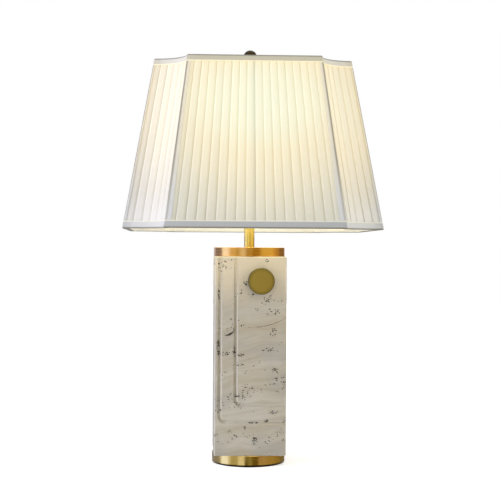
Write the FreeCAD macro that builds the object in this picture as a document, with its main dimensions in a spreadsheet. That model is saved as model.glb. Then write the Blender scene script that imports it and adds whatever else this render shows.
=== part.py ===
# Table lamp: a stone column between two brass discs, a pole, a harp and a pleated shade.
# The shade is square in plan with scooped corners. Origin: centre of the underside, +Z up,
# the grooved face and the knob look along -Y. All lengths are in millimetres.

import FreeCAD, Part
import MeshPart
import Sketcher
import math
import os
from FreeCAD import Placement, Rotation, Vector

document = FreeCAD.newDocument("TableLamp")
sheet = document.addObject("Spreadsheet::Sheet", "Sizes")

# Driving lengths, piece by piece from the table up
lengths = {
    # clearances and overruns
    "seat_gap": 0.3,
    "running_fit": 0.05,
    "assembly_fit": 0.25,
    "overrun": 1.0,
    # foam pad and lower brass disc
    "pad_diameter": 110,
    "pad_thickness": 1,
    "base_diameter": 112,
    "base_thickness": 15,
    "disc_bevel": 0.5,
    "recess_diameter": 60,
    "recess_depth": 11,
    "spigot_height": 5,
    "lead_hole_diameter": 7,
    "lead_hole_offset": 18,
    # mains lead inlet in the rear of the lower disc
    "inlet_height": 7.5,
    "inlet_hole_diameter": 9,
    "inlet_bore": 6.2,
    "inlet_flange_diameter": 12.4,
    "inlet_flange_thickness": 1.6,
    "inlet_spotface_depth": 0.6,
    "inlet_flange_bevel": 0.7,
    "inlet_neck_length": 8,
    # stone column with its core and the two cut lines
    "column_width": 108.5,
    "column_height": 300,
    "column_corner_radius": 2.5,
    "column_edge_bevel": 0.7,
    "core_diameter": 50,
    "cutter_radius": 4,
    "cutter_lift": 1.6,
    "line_bend_radius": 10,
    "outer_line_offset": 46.1,
    "inner_line_offset": 22,
    "outer_line_height": 50.5,
    "inner_line_height": 75.5,
    # upper brass disc and pole
    "cap_diameter": 109.5,
    "cap_thickness": 14,
    "pole_diameter": 16,
    "pole_bore": 10.6,
    "pole_exposed": 52,
    "pole_seat_depth": 2,
    # threaded pipe that clamps the stack
    "pipe_diameter": 10,
    "pipe_bore": 7,
    "pipe_floor_gap": 1.2,
    "pipe_slot_width": 5,
    "pipe_slot_length": 22,
    "pipe_slot_above_knob": 11,
    "nut_width": 17,
    "nut_height": 6,
    "washer_diameter": 24,
    "washer_thickness": 1.5,
    # terminal block in the recess
    "terminal_length": 18,
    "terminal_depth": 12,
    "terminal_height": 8,
    "terminal_bore": 3.4,
    # leads that the lamp holds all the way
    "lead_diameter": 2.5,
    # rotary dimmer, its plate and its knob
    "knob_offset": 15.5,
    "knob_drop": 36.8,
    "knob_diameter": 39.5,
    "knob_thickness": 12,
    "knob_bevel": 1,
    "knob_gap": 0.6,
    "knob_hollow_diameter": 36,
    "knob_hollow_depth": 6,
    "knob_roof": 1.4,
    "grub_diameter": 3,
    "grub_length": 7,
    "dial_pocket_diameter": 25,
    "dial_pocket_depth": 42,
    "plate_diameter": 34,
    "plate_thickness": 1.5,
    "plate_sink": 2,
    "plate_screw_offset": 14.6,
    "plate_screw_diameter": 2.5,
    "plate_screw_length": 9,
    "plate_screw_head": 4.4,
    "plate_screw_head_height": 1,
    "dimmer_diameter": 24,
    "dimmer_length": 26,
    "bushing_diameter": 10,
    "bushing_length": 7,
    "dial_nut_width": 14,
    "dial_nut_height": 2.4,
    "shaft_diameter": 6,
    "shaft_flat": 1.5,
    "shaft_depth": 20,
    # harp saddle
    "saddle_width": 12,
    "saddle_thickness": 1.5,
    "saddle_half_span": 27,
    "sleeve_height": 12,
    "sleeve_wall": 1.05,
    # lampholder
    "holder_diameter": 39,
    "holder_neck_diameter": 26,
    "holder_wall": 1.2,
    "holder_cap_height": 14,
    "holder_cone_height": 9,
    "holder_shell_height": 36,
    "holder_lip": 1.6,
    "holder_floor": 2,
    "insert_floor": 8,
    "insert_height": 31,
    "insert_drop": 1.5,
    "thread_sleeve_diameter": 28,
    "thread_sleeve_wall": 0.4,
    "thread_sleeve_height": 21,
    "contact_width": 4,
    "contact_length": 14,
    "contact_foot_spacing": 7,
    "contact_crest_length": 2.4,
    "contact_sheet": 0.6,
    "contact_rise": 2.2,
    # bulb
    "bulb_base_diameter": 26.4,
    "bulb_base_height": 24,
    "bulb_insulator_height": 2.6,
    "bulb_insulator_diameter": 18,
    "bulb_tip_height": 1.2,
    "bulb_tip_diameter": 8,
    "bulb_neck_diameter": 25,
    "bulb_globe_diameter": 60,
    "bulb_glass_wall": 1,
    "bulb_neck_height": 4,
    # harp bow, its ferrules and its swivel stud
    "harp_wire_diameter": 4,
    "harp_height": 208.5,
    "harp_half_width": 58,
    "harp_crown_radius": 45,
    "harp_leg_height": 27.5,
    "harp_hub_diameter": 12,
    "harp_hub_height": 7,
    "ferrule_height": 14,
    "ferrule_wall": 1.1,
    "ferrule_roof": 1.5,
    "stud_diameter": 6.35,
    "stud_length": 14,
    "stud_journal_diameter": 5,
    "stud_flange_diameter": 14,
    "stud_flange_height": 2,
    "stud_rivet_diameter": 8,
    "stud_rivet_height": 1.4,
    # spider that carries the shade
    "spider_hub_diameter": 26,
    "spider_hub_thickness": 1.6,
    "spider_arm_diameter": 2.6,
    "shade_rise_over_hub": 8.2,
    # finial
    "finial_height": 35.6,
    "finial_ball_diameter": 21,
    "finial_collar_diameter": 15,
    "finial_collar_height": 3,
    "finial_neck_diameter": 9.8,
    "finial_cove_radius": 9,
    "finial_thread_depth": 15,
    # shade: outside of the hems
    "shade_height": 250,
    "shade_bottom_width": 380,
    "shade_top_width": 291,
    "scoop_bottom_radius": 61,
    "scoop_top_radius": 48.5,
    "hem_bottom_height": 11.5,
    "hem_top_height": 9,
    "hem_cloth": 0.8,
    "pleat_relief": 2.2,
    "pleat_cloth": 0.6,
    "lining_cloth": 0.5,
    "frame_bar_thickness": 2.4,
    "frame_bar_height": 4,
    "rib_width": 2.4,
    "rib_thickness": 1.6,
    "binding_bottom_width": 8.5,
    "binding_top_width": 5.5,
    "scoop_binding_bottom_width": 3.6,
    "scoop_binding_top_width": 2.6,
}

# Counts
counts = {
    "face_pleat_count": 18,
    "corner_pleat_count": 7,
    "lining_facet_count": 10,
}

# Angles in degrees
angles = {
    "harp_shoulder_angle": 60,
    "bulb_shoulder_angle": 40,
    "finial_shoulder_angle": 35,
}

# Outline of one knife pleat: where its points lie along the pleat, and how deep they are sunk
pleat_along_shares = [0, 0.08, 0.24]
pleat_depth_shares = [1, 0.15, 0]

# Share of the shorter of two runs that the bend between them takes up
bend_share = 0.45

# Turns about the lamp's axis from one side to the next, in degrees
side_turns = (0, 90, 180, 270)

# How fine the printed triangle count is: the chords' sag in mm and the turn between facets
# in radians
facet_tolerance = 0.5
facet_angle = 0.6

# How far two levels may differ and count as one
level_tolerance = 1e-6


class Size:
    # A number together with the sheet formula that gives it

    def __init__(self, formula, value):
        self.formula = formula
        self.value = value

    def __add__(self, other):
        return Size(f"({self.formula} + {formula_of(other)})", self.value + value_of(other))

    def __radd__(self, other):
        return Size(f"({formula_of(other)} + {self.formula})", value_of(other) + self.value)

    def __sub__(self, other):
        return Size(f"({self.formula} - {formula_of(other)})", self.value - value_of(other))

    def __rsub__(self, other):
        return Size(f"({formula_of(other)} - {self.formula})", value_of(other) - self.value)

    def __mul__(self, other):
        return Size(f"({self.formula} * {formula_of(other)})", self.value * value_of(other))

    def __rmul__(self, other):
        return Size(f"({formula_of(other)} * {self.formula})", value_of(other) * self.value)

    def __truediv__(self, other):
        return Size(f"({self.formula} / {formula_of(other)})", self.value / value_of(other))

    def __neg__(self):
        return Size(f"(0 - {self.formula})", -self.value)


def formula_of(item):
    return item.formula if isinstance(item, Size) else str(item)


def value_of(item):
    return item.value if isinstance(item, Size) else item


def cosine(angle):
    return Size(f"cos({angle.formula} * 1 deg)", math.cos(math.radians(angle.value)))


def sine(angle):
    return Size(f"sin({angle.formula} * 1 deg)", math.sin(math.radians(angle.value)))


def root(square):
    return Size(f"sqrt({square.formula})", math.sqrt(square.value))


def lean_angle(run, rise):
    # Angle of a slope away from upright
    return Size(f"atan({run.formula} / {rise.formula})",
                math.degrees(math.atan(run.value / rise.value)))


class Sizes:
    # Every driving value by its name
    pass


def fill_sheet():
    named = Sizes()
    row = 1
    for table in (lengths, counts, angles):
        for name, value in table.items():
            sheet.set(f"A{row}", name)
            sheet.set(f"B{row}", str(value))
            sheet.setAlias(f"B{row}", name)
            setattr(named, name, Size(f"Sizes.{name}", value))
            row += 1
    document.recompute()
    return named


size = fill_sheet()

# Heights of the stack above the table, each resting on the one below
base_level = size.pad_thickness
column_level = base_level + size.base_thickness
cap_level = column_level + size.column_height
cap_top_level = cap_level + size.cap_thickness
saddle_level = cap_top_level + size.pole_exposed
holder_level = saddle_level + size.saddle_thickness
crown_level = holder_level + size.harp_height
harp_hub_top = crown_level + size.harp_hub_height / 2
stud_level = harp_hub_top + size.seat_gap
spider_level = stud_level + size.stud_flange_height
finial_level = spider_level + size.spider_hub_thickness
shade_top_level = spider_level + size.shade_rise_over_hub
shade_level = shade_top_level - size.shade_height
knob_level = cap_level - size.knob_drop
front_face = size.column_width / 2

# Layers of the shade, as insets from the outside of the hems
pleat_inset = size.hem_cloth + size.seat_gap
pleat_back_inset = pleat_inset + size.pleat_relief + size.pleat_cloth
bar_inset = pleat_back_inset + size.seat_gap + size.frame_bar_thickness / 2
lining_inset = bar_inset + size.frame_bar_thickness / 2 + size.seat_gap
hem_inset = lining_inset + size.lining_cloth + size.seat_gap
hem_back_inset = hem_inset + size.hem_cloth
bar_level = size.hem_cloth + size.seat_gap + size.frame_bar_height / 2
top_bar_level = size.shade_height - bar_level

# A cylinder's axis turned to look along -Y or along +Y
towards_front = Rotation(Vector(1, 0, 0), 90)
towards_rear = Rotation(Vector(1, 0, 0), -90)

parts = []


def bind(item, setting, wanted):
    if isinstance(wanted, Size):
        item.setExpression(setting, wanted.formula)


def place(item, x=0, y=0, z=0, rotation=None):
    # A rotation is a fixed one, or an axis with the size of its angle
    if isinstance(rotation, tuple):
        axis, angle = rotation
        rotation = Rotation(axis, angle.value)
        bind(item, "Placement.Rotation.Angle", angle)
    base = Vector(value_of(x), value_of(y), value_of(z))
    item.Placement = Placement(base, rotation or Rotation())
    bind(item, "Placement.Base.x", x)
    bind(item, "Placement.Base.y", y)
    bind(item, "Placement.Base.z", z)


def keep(item, label):
    item.Label = label
    parts.append(item)
    return item


def new_body(label):
    return keep(document.addObject("PartDesign::Body", label), label)


def origin_plane(body, role):
    return next(item for item in body.Origin.OriginFeatures if item.Role == role)


def new_sketch(body, name, role="XZ_Plane", offset=0):
    sketch = body.newObject("Sketcher::SketchObject", name)
    sketch.AttachmentSupport = [(origin_plane(body, role), "")]
    sketch.MapMode = "FlatFace"
    sketch.AttachmentOffset = Placement(Vector(0, 0, value_of(offset)), Rotation())
    bind(sketch, "AttachmentOffset.Base.z", offset)
    return sketch


def fix_point(sketch, side, end, x, y):
    # Ties one end of a side to its two coordinates
    for kind, axis, wanted in (("DistanceX", -2, x), ("DistanceY", -1, y)):
        if value_of(wanted) == 0:
            sketch.addConstraint(Sketcher.Constraint("PointOnObject", side, end, axis))
            continue
        rule = Sketcher.Constraint(kind, -1, 1, side, end, value_of(wanted))
        index = sketch.addConstraint(rule)
        bind(sketch, f"Constraints[{index}]", wanted)


def arc_between(start, end, radius, turn):
    # Arc that leaves start and reaches end, curving left for turn 1 and right for turn -1
    chord = end - start
    middle = (start + end) / 2
    rise = math.sqrt(max(radius ** 2 - chord.Length ** 2 / 4, 0))
    side = Vector(-chord.y, chord.x, 0).normalize()
    centre = middle + side * (rise * turn)
    first, last = (start, end) if turn > 0 else (end, start)
    first_angle = math.atan2(first.y - centre.y, first.x - centre.x)
    last_angle = math.atan2(last.y - centre.y, last.x - centre.x)
    circle = Part.Circle(centre, Vector(0, 0, 1), radius)
    return Part.ArcOfCircle(circle, first_angle, last_angle)


def draw_outline(sketch, corners, closed=True):
    # A corner is (x, y), or (x, y, radius, turn) where an arc leaves it
    spots = [Vector(value_of(corner[0]), value_of(corner[1]), 0) for corner in corners]
    side_count = len(corners) if closed else len(corners) - 1
    ends = []
    for index in range(side_count):
        start = spots[index]
        end = spots[(index + 1) % len(spots)]
        if len(corners[index]) == 2:
            side = sketch.addGeometry(Part.LineSegment(start, end))
            ends.append((side, 1, 2))
            continue
        radius, turn = corners[index][2:]
        side = sketch.addGeometry(arc_between(start, end, value_of(radius), turn))
        rule = sketch.addConstraint(Sketcher.Constraint("Radius", side, value_of(radius)))
        bind(sketch, f"Constraints[{rule}]", radius)
        ends.append((side, 1, 2) if turn > 0 else (side, 2, 1))
    joints = len(ends) if closed else len(ends) - 1
    for index in range(joints):
        side, _, last = ends[index]
        next_side, first, _ = ends[(index + 1) % len(ends)]
        sketch.addConstraint(Sketcher.Constraint("Coincident", side, last, next_side, first))
    for corner, (side, first, _) in zip(corners, ends):
        fix_point(sketch, side, first, corner[0], corner[1])
    if not closed:
        side, _, last = ends[-1]
        fix_point(sketch, side, last, corners[-1][0], corners[-1][1])


def draw_circle(sketch, x, y, radius):
    circle = Part.Circle(Vector(value_of(x), value_of(y), 0), Vector(0, 0, 1), value_of(radius))
    side = sketch.addGeometry(circle)
    rule = sketch.addConstraint(Sketcher.Constraint("Radius", side, value_of(radius)))
    bind(sketch, f"Constraints[{rule}]", radius)
    fix_point(sketch, side, 3, x, y)


def draw_box(sketch, left, low, right, high):
    draw_outline(sketch, [(left, low), (right, low), (right, high), (left, high)])


def add_feature(body, kind, name, sketch, **settings):
    feature = body.newObject(f"PartDesign::{kind}", name)
    feature.Profile = sketch
    for setting, wanted in settings.items():
        setattr(feature, setting, value_of(wanted))
        bind(feature, setting, wanted)
    body.Tip = feature
    return feature


def turn_profile(body, name, corners, kind="Revolution"):
    sketch = new_sketch(body, f"{name}_profile")
    draw_outline(sketch, corners)
    feature = body.newObject(f"PartDesign::{kind}", name)
    feature.Profile = sketch
    feature.ReferenceAxis = (sketch, ["V_Axis"])
    feature.Angle = 360
    body.Tip = feature
    return feature


def turned(label, corners, x=0, y=0, z=0, rotation=None):
    body = new_body(label)
    turn_profile(body, f"{label}_turning", corners)
    place(body, x, y, z, rotation)
    return body


def tube(label, bore, outside, height, x=0, y=0, z=0, rotation=None):
    corners = [(bore, 0), (outside, 0), (outside, height), (bore, height)]
    return turned(label, corners, x, y, z, rotation)


def new_shape(label, shape, z=0, angle=0):
    # For forms that no sketch or primitive gives, turned about the lamp's axis
    feature = keep(document.addObject("Part::Feature", label), label)
    feature.Shape = shape
    feature.Placement = Placement(Vector(0, 0, value_of(z)), Rotation(Vector(0, 0, 1), angle))
    return feature


def primitive(kind, name, x=0, y=0, z=0, rotation=None, **settings):
    item = document.addObject(f"Part::{kind}", name)
    for setting, wanted in settings.items():
        setattr(item, setting, value_of(wanted))
        bind(item, setting, wanted)
    place(item, x, y, z, rotation)
    return item


def cut(label, base, tools):
    result = document.addObject("Part::Cut", label)
    result.Base = base
    result.Tool = tools[0] if len(tools) == 1 else fuse(f"{label}_tools", tools)
    return result


def fuse(label, items):
    result = document.addObject("Part::MultiFuse", label)
    result.Shapes = items
    return result


def hex_nut(label, width, height, bore, x=0, y=0, z=0, rotation=None):
    corner_radius = width / math.sqrt(3)
    blank = primitive("Prism", f"{label}_blank", Polygon=6, Circumradius=corner_radius, Height=height)
    drill = primitive("Cylinder", f"{label}_drill", z=-size.overrun, Radius=bore,
                      Height=height + 2 * size.overrun)
    nut = keep(cut(label, blank, [drill]), label)
    place(nut, x, y, z, rotation)
    return nut


# Foam pad and lower disc
def make_pad():
    pad = primitive("Cylinder", "base_pad", Radius=size.pad_diameter / 2, Height=size.pad_thickness)
    keep(pad, "base_pad")


def make_base_disc():
    radius = size.base_diameter / 2
    bevel = size.disc_bevel
    thickness = size.base_thickness
    recess = size.recess_diameter / 2
    spigot = size.core_diameter / 2 - size.assembly_fit
    top = thickness + size.spigot_height
    bore = size.pipe_diameter / 2 + size.assembly_fit
    body = turned("base_disc", [
        (recess, 0),
        (radius - bevel, 0),
        (radius, bevel),
        (radius, thickness - bevel),
        (radius - bevel, thickness),
        (spigot, thickness),
        (spigot, top),
        (bore, top),
        (bore, size.recess_depth),
        (recess, size.recess_depth),
    ], z=base_level)
    inlet = new_sketch(body, "inlet_circle", offset=size.overrun - recess)
    draw_circle(inlet, 0, size.inlet_height, size.inlet_hole_diameter / 2)
    add_feature(body, "Pocket", "inlet_hole", inlet, Length=radius - recess + 2 * size.overrun)
    spot = new_sketch(body, "spotface_circle", offset=size.inlet_spotface_depth - radius)
    draw_circle(spot, 0, size.inlet_height, size.inlet_flange_diameter / 2 + size.assembly_fit)
    add_feature(body, "Pocket", "inlet_spotface", spot,
                Length=size.inlet_spotface_depth + size.overrun)
    lead = new_sketch(body, "lead_circle", "XY_Plane", top + size.overrun)
    draw_circle(lead, size.lead_hole_offset, 0, size.lead_hole_diameter / 2)
    add_feature(body, "Pocket", "lead_hole", lead,
                Length=top - size.recess_depth + 2 * size.overrun)


def make_inlet():
    bore = size.inlet_bore / 2
    neck = size.inlet_hole_diameter / 2 - size.running_fit
    flange = size.inlet_flange_diameter / 2
    length = size.inlet_neck_length
    end = length + size.inlet_flange_thickness
    bevel = size.inlet_flange_bevel
    turned("inlet_grommet", [
        (bore, 0),
        (neck, 0),
        (neck, length),
        (flange, length),
        (flange, end - bevel),
        (flange - bevel, end),
        (bore, end),
    ], y=size.base_diameter / 2 - size.inlet_spotface_depth - length,
        z=base_level + size.inlet_height, rotation=towards_rear)


# Stone column
def make_column():
    half = size.column_width / 2
    rounding = size.column_corner_radius
    flat = half - rounding
    body = new_body("stone_column")
    plan = new_sketch(body, "column_plan", "XY_Plane")
    draw_outline(plan, [
        (half, -flat), (half, flat, rounding, 1),
        (flat, half), (-flat, half, rounding, 1),
        (-half, flat), (-half, -flat, rounding, 1),
        (-flat, -half), (flat, -half, rounding, 1),
    ])
    draw_circle(plan, 0, 0, size.core_diameter / 2)
    block = add_feature(body, "Pad", "column_block", plan, Length=size.column_height)
    document.recompute()
    bevel = body.newObject("PartDesign::Chamfer", "column_edges")
    bevel.Base = (block, end_edges(block.Shape, size.column_height.value, size.core_diameter.value))
    bevel.Size = size.column_edge_bevel.value
    bind(bevel, "Size", size.column_edge_bevel)
    body.Tip = bevel
    cut_line(body, "outer_line", size.outer_line_offset, size.outer_line_height)
    cut_line(body, "inner_line", size.inner_line_offset, size.inner_line_height)
    dial_height = size.column_height - size.knob_drop
    for name, diameter, depth in (
        ("dial_pocket", size.dial_pocket_diameter, size.dial_pocket_depth),
        ("plate_seat", size.plate_diameter + 2 * size.assembly_fit, size.plate_sink),
    ):
        circle = new_sketch(body, f"{name}_circle", offset=half + size.overrun)
        draw_circle(circle, size.knob_offset, dial_height, diameter / 2)
        add_feature(body, "Pocket", name, circle, Length=depth + size.overrun)
    screws = new_sketch(body, "screw_circles", offset=half)
    for side in (-1, 1):
        draw_circle(screws, size.knob_offset, dial_height + side * size.plate_screw_offset,
                    size.plate_screw_diameter / 2 + size.running_fit)
    add_feature(body, "Pocket", "screw_holes", screws,
                Length=size.plate_sink + size.plate_screw_length)
    place(body, z=column_level)


def end_edges(shape, height, core):
    # Outer edges of the top and of the underside
    names = []
    for index, edge in enumerate(shape.Edges, 1):
        box = edge.BoundBox
        off_level = max(box.ZLength, min(abs(box.ZMin), abs(box.ZMin - height)))
        reach = max(abs(box.XMin), abs(box.XMax), abs(box.YMin), abs(box.YMax))
        if off_level < level_tolerance and reach > core / 2 + level_tolerance:
            names.append(f"Edge{index}")
    return names


def cut_line(body, name, offset, height):
    # A round-nosed cutter runs down the front, bends and runs off the right side
    half = size.column_width / 2
    bend = size.line_bend_radius
    top = size.column_height + 2 * size.cutter_radius
    depth = half + size.cutter_lift
    path = new_sketch(body, f"{name}_path", offset=depth)
    draw_outline(path, [
        (-offset, top),
        (-offset, height + bend, bend, 1),
        (bend - offset, height),
        (half + 2 * size.cutter_radius, height),
    ], closed=False)
    tool = new_sketch(body, f"{name}_cutter", "XY_Plane", top)
    draw_circle(tool, -offset, -depth, size.cutter_radius)
    groove = body.newObject("PartDesign::SubtractivePipe", name)
    groove.Profile = tool
    groove.Spine = (path, ["Edge1", "Edge2", "Edge3"])
    body.Tip = groove


# Upper disc, pole and the pipe that clamps the stack
def make_cap_disc():
    radius = size.cap_diameter / 2
    bevel = size.disc_bevel
    drop = size.spigot_height
    top = drop + size.cap_thickness
    spigot = size.core_diameter / 2 - size.assembly_fit
    bore = size.pipe_diameter / 2 + size.assembly_fit
    seat = size.pole_diameter / 2 + size.running_fit
    turned("cap_disc", [
        (bore, 0),
        (spigot, 0),
        (spigot, drop),
        (radius - bevel, drop),
        (radius, drop + bevel),
        (radius, top - bevel),
        (radius - bevel, top),
        (seat, top),
        (seat, top - size.pole_seat_depth),
        (bore, top - size.pole_seat_depth),
    ], z=cap_level - drop)


def make_pole():
    tube("pole_sleeve", size.pole_bore / 2, size.pole_diameter / 2,
         size.pole_exposed + size.pole_seat_depth, z=cap_top_level - size.pole_seat_depth)


def make_pipe():
    foot = base_level + size.pipe_floor_gap
    height = holder_level + size.holder_cap_height - size.insert_drop - size.seat_gap - foot
    outside = size.pipe_diameter / 2
    body = tube("threaded_pipe", size.pipe_bore / 2, outside, height, z=foot)
    slot = new_sketch(body, "wire_slot_box", offset=outside + size.overrun)
    low = knob_level + size.pipe_slot_above_knob - foot
    half = size.pipe_slot_width / 2
    draw_box(slot, -half, low, half, low + size.pipe_slot_length)
    add_feature(body, "Pocket", "wire_slot", slot, Length=outside + size.overrun)


def make_pipe_nut():
    washer = base_level + size.recess_depth - size.washer_thickness
    bore = size.pipe_diameter / 2 + size.running_fit
    tube("pipe_washer", bore, size.washer_diameter / 2, size.washer_thickness, z=washer)
    hex_nut("pipe_nut", size.nut_width, size.nut_height, bore, z=washer - size.nut_height)


def make_terminal_block():
    level = base_level + size.recess_depth - size.terminal_height
    block = primitive("Box", "terminal_blank", size.lead_hole_offset - size.terminal_depth / 2,
                      -size.terminal_length / 2, level,
                      Length=size.terminal_depth, Width=size.terminal_length,
                      Height=size.terminal_height)
    bores = [
        primitive("Cylinder", "terminal_bore",
                  size.lead_hole_offset + side * size.terminal_depth / 4,
                  size.terminal_length / 2 + size.overrun,
                  level + size.terminal_height / 2, towards_front,
                  Radius=size.terminal_bore / 2, Height=size.terminal_length + 2 * size.overrun)
        for side in (-1, 1)
    ]
    keep(cut("terminal_block", block, bores), "terminal_block")


# Leads: straight runs joined by tangent arcs
def lead_shape(points, radius):
    spots = [Vector(*[value_of(value) for value in point]) for point in points]
    edges = []
    start = spots[0]
    smallest = None
    for before, corner, after in zip(spots, spots[1:], spots[2:]):
        arriving = (corner - before)
        leaving = (after - corner)
        turn = arriving.getAngle(leaving)
        shorter = min(arriving.Length, leaving.Length)
        bend = bend_share * shorter / math.tan(turn / 2)
        reach = bend * math.tan(turn / 2)
        first = corner - arriving.normalize() * reach
        last = corner + leaving.normalize() * reach
        inward = (first + last) / 2 - corner
        centre = corner + inward.normalize() * math.hypot(bend, reach)
        middle = centre + (corner - centre).normalize() * bend
        edges.append(Part.LineSegment(start, first).toShape())
        edges.append(Part.Arc(first, middle, last).toShape())
        start = last
        smallest = bend if smallest is None else min(smallest, bend)
    edges.append(Part.LineSegment(start, spots[-1]).toShape())
    path = Part.Wire(edges)
    ring = Part.Wire([Part.Circle(spots[0], spots[1] - spots[0], radius).toShape()])
    solid = path.makePipeShell([ring], True, False)
    print(f"lead: length {path.Length:.1f}, tightest bend {smallest:.1f}")
    return solid


def make_leads():
    # One rises from the terminal block to the dimmer, the other from the dimmer to the holder
    half = size.lead_diameter / 2
    dimmer_back = -front_face + size.plate_sink + size.dimmer_length
    riser = size.lead_hole_offset
    entry = knob_level - size.dimmer_diameter / 4
    supply = [
        (riser, 0, base_level + size.recess_depth + size.seat_gap),
        (riser, 0, entry),
        (riser, dimmer_back + size.seat_gap, entry),
    ]
    new_shape("lead_supply", lead_shape(supply, half.value))
    leave = size.knob_offset - size.dimmer_diameter / 3
    slot_foot = knob_level + size.pipe_slot_above_knob
    top = holder_level + size.holder_cap_height - size.insert_drop - size.seat_gap
    lamp = [
        (leave, dimmer_back + size.seat_gap, knob_level + size.lead_diameter),
        (leave / 2, -size.pipe_diameter - size.lead_diameter, slot_foot - size.lead_diameter * 2),
        (0, 0, slot_foot + size.pipe_slot_length),
        (0, 0, top),
    ]
    new_shape("lead_lamp", lead_shape(lamp, half.value))


# Rotary dimmer behind the knob: every piece is turned about the knob's axis
def on_dial(out):
    return {"x": size.knob_offset, "y": -front_face - out, "z": knob_level}


def make_dimmer():
    sink = size.plate_sink
    body_radius = size.dimmer_diameter / 2
    bushing = size.bushing_diameter / 2
    bore = size.shaft_diameter / 2 + size.running_fit
    length = size.dimmer_length
    end = length + size.bushing_length
    turned("dimmer_housing", [
        (0, 0),
        (body_radius, 0),
        (body_radius, length),
        (bushing, length),
        (bushing, end),
        (bore, end),
        (bore, length - size.shaft_depth),
        (0, length - size.shaft_depth),
    ], rotation=towards_front, **on_dial(-sink - length))
    plate = new_body("dimmer_plate")
    disc = new_sketch(plate, "plate_disc", "XY_Plane")
    draw_circle(disc, 0, 0, size.plate_diameter / 2)
    draw_circle(disc, 0, 0, bushing + size.running_fit)
    for side in (-1, 1):
        draw_circle(disc, 0, side * size.plate_screw_offset,
                    size.plate_screw_diameter / 2 + size.running_fit)
    add_feature(plate, "Pad", "plate_sheet", disc, Length=size.plate_thickness)
    place(plate, rotation=towards_front, **on_dial(-sink))
    hex_nut("dimmer_nut", size.dial_nut_width, size.dial_nut_height, bushing + size.running_fit,
            rotation=towards_front, **on_dial(size.plate_thickness - sink))


def make_plate_screws():
    shank = size.plate_screw_length
    pieces = []
    for side in (-1, 1):
        height = side * size.plate_screw_offset
        pieces.append(primitive("Cylinder", "screw_shank", y=height,
                                Radius=size.plate_screw_diameter / 2, Height=shank))
        pieces.append(primitive("Cylinder", "screw_head", y=height, z=shank,
                                Radius=size.plate_screw_head / 2,
                                Height=size.plate_screw_head_height))
    screws = keep(fuse("plate_screws", pieces), "plate_screws")
    place(screws, rotation=towards_front, **on_dial(size.plate_thickness - size.plate_sink - shank))


def make_knob():
    radius = size.knob_diameter / 2
    hollow = size.knob_hollow_diameter / 2
    bore = size.shaft_diameter / 2
    thickness = size.knob_thickness
    bevel = size.knob_bevel
    floor = size.knob_hollow_depth
    roof = thickness - size.knob_roof
    body = turned("knob", [
        (hollow, 0),
        (radius, 0),
        (radius, thickness - bevel),
        (radius - bevel, thickness),
        (0, thickness),
        (0, roof),
        (bore, roof),
        (bore, floor),
        (hollow, floor),
    ], rotation=towards_front, **on_dial(size.knob_gap))
    drill = new_sketch(body, "grub_circle")
    draw_circle(drill, 0, (floor + roof) / 2, size.grub_diameter / 2 + size.running_fit)
    add_feature(body, "Pocket", "grub_hole", drill, Length=radius + size.overrun)


def make_shaft():
    radius = size.shaft_diameter / 2
    foot = size.plate_sink + size.shaft_depth - size.seat_gap
    reach = size.knob_gap + size.knob_thickness - size.knob_roof
    blank = primitive("Cylinder", "shaft_blank", Radius=radius, Height=foot + reach)
    flat = primitive("Box", "shaft_flat_tool", -radius, radius - size.shaft_flat,
                     foot + size.knob_gap + size.knob_hollow_depth,
                     Length=size.shaft_diameter, Width=size.shaft_diameter,
                     Height=size.knob_thickness)
    shaft = keep(cut("dimmer_shaft", blank, [flat]), "dimmer_shaft")
    place(shaft, rotation=towards_front, **on_dial(-foot))
    grub = primitive("Cylinder", "knob_grub_screw", size.knob_offset,
                     -front_face - size.knob_gap - (size.knob_hollow_depth + size.knob_thickness
                                                    - size.knob_roof) / 2,
                     knob_level + radius - size.shaft_flat + size.running_fit,
                     Radius=size.grub_diameter / 2, Height=size.grub_length)
    keep(grub, "knob_grub_screw")


# Harp saddle: a strip with a sleeve for each leg of the harp
def make_saddle():
    span = size.saddle_half_span
    half = size.saddle_width / 2
    body = new_body("harp_saddle")
    strip = new_sketch(body, "saddle_strip", "XY_Plane")
    draw_outline(strip, [
        (span, -half, half, 1),
        (span + half, 0, half, 1),
        (span, half),
        (-span, half, half, 1),
        (-span - half, 0, half, 1),
        (-span, -half),
    ])
    draw_circle(strip, 0, 0, size.pipe_diameter / 2 + size.running_fit)
    add_feature(body, "Pad", "saddle_sheet", strip, Length=size.saddle_thickness)
    sleeves = new_sketch(body, "sleeve_rings", "XY_Plane")
    bore = size.harp_wire_diameter / 2 + size.running_fit
    for side in (-1, 1):
        draw_circle(sleeves, side * span, 0, bore)
        draw_circle(sleeves, side * span, 0, bore + size.sleeve_wall)
    add_feature(body, "Pad", "saddle_sleeves", sleeves,
                Length=size.saddle_thickness + size.sleeve_height)
    place(body, z=saddle_level)


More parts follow.
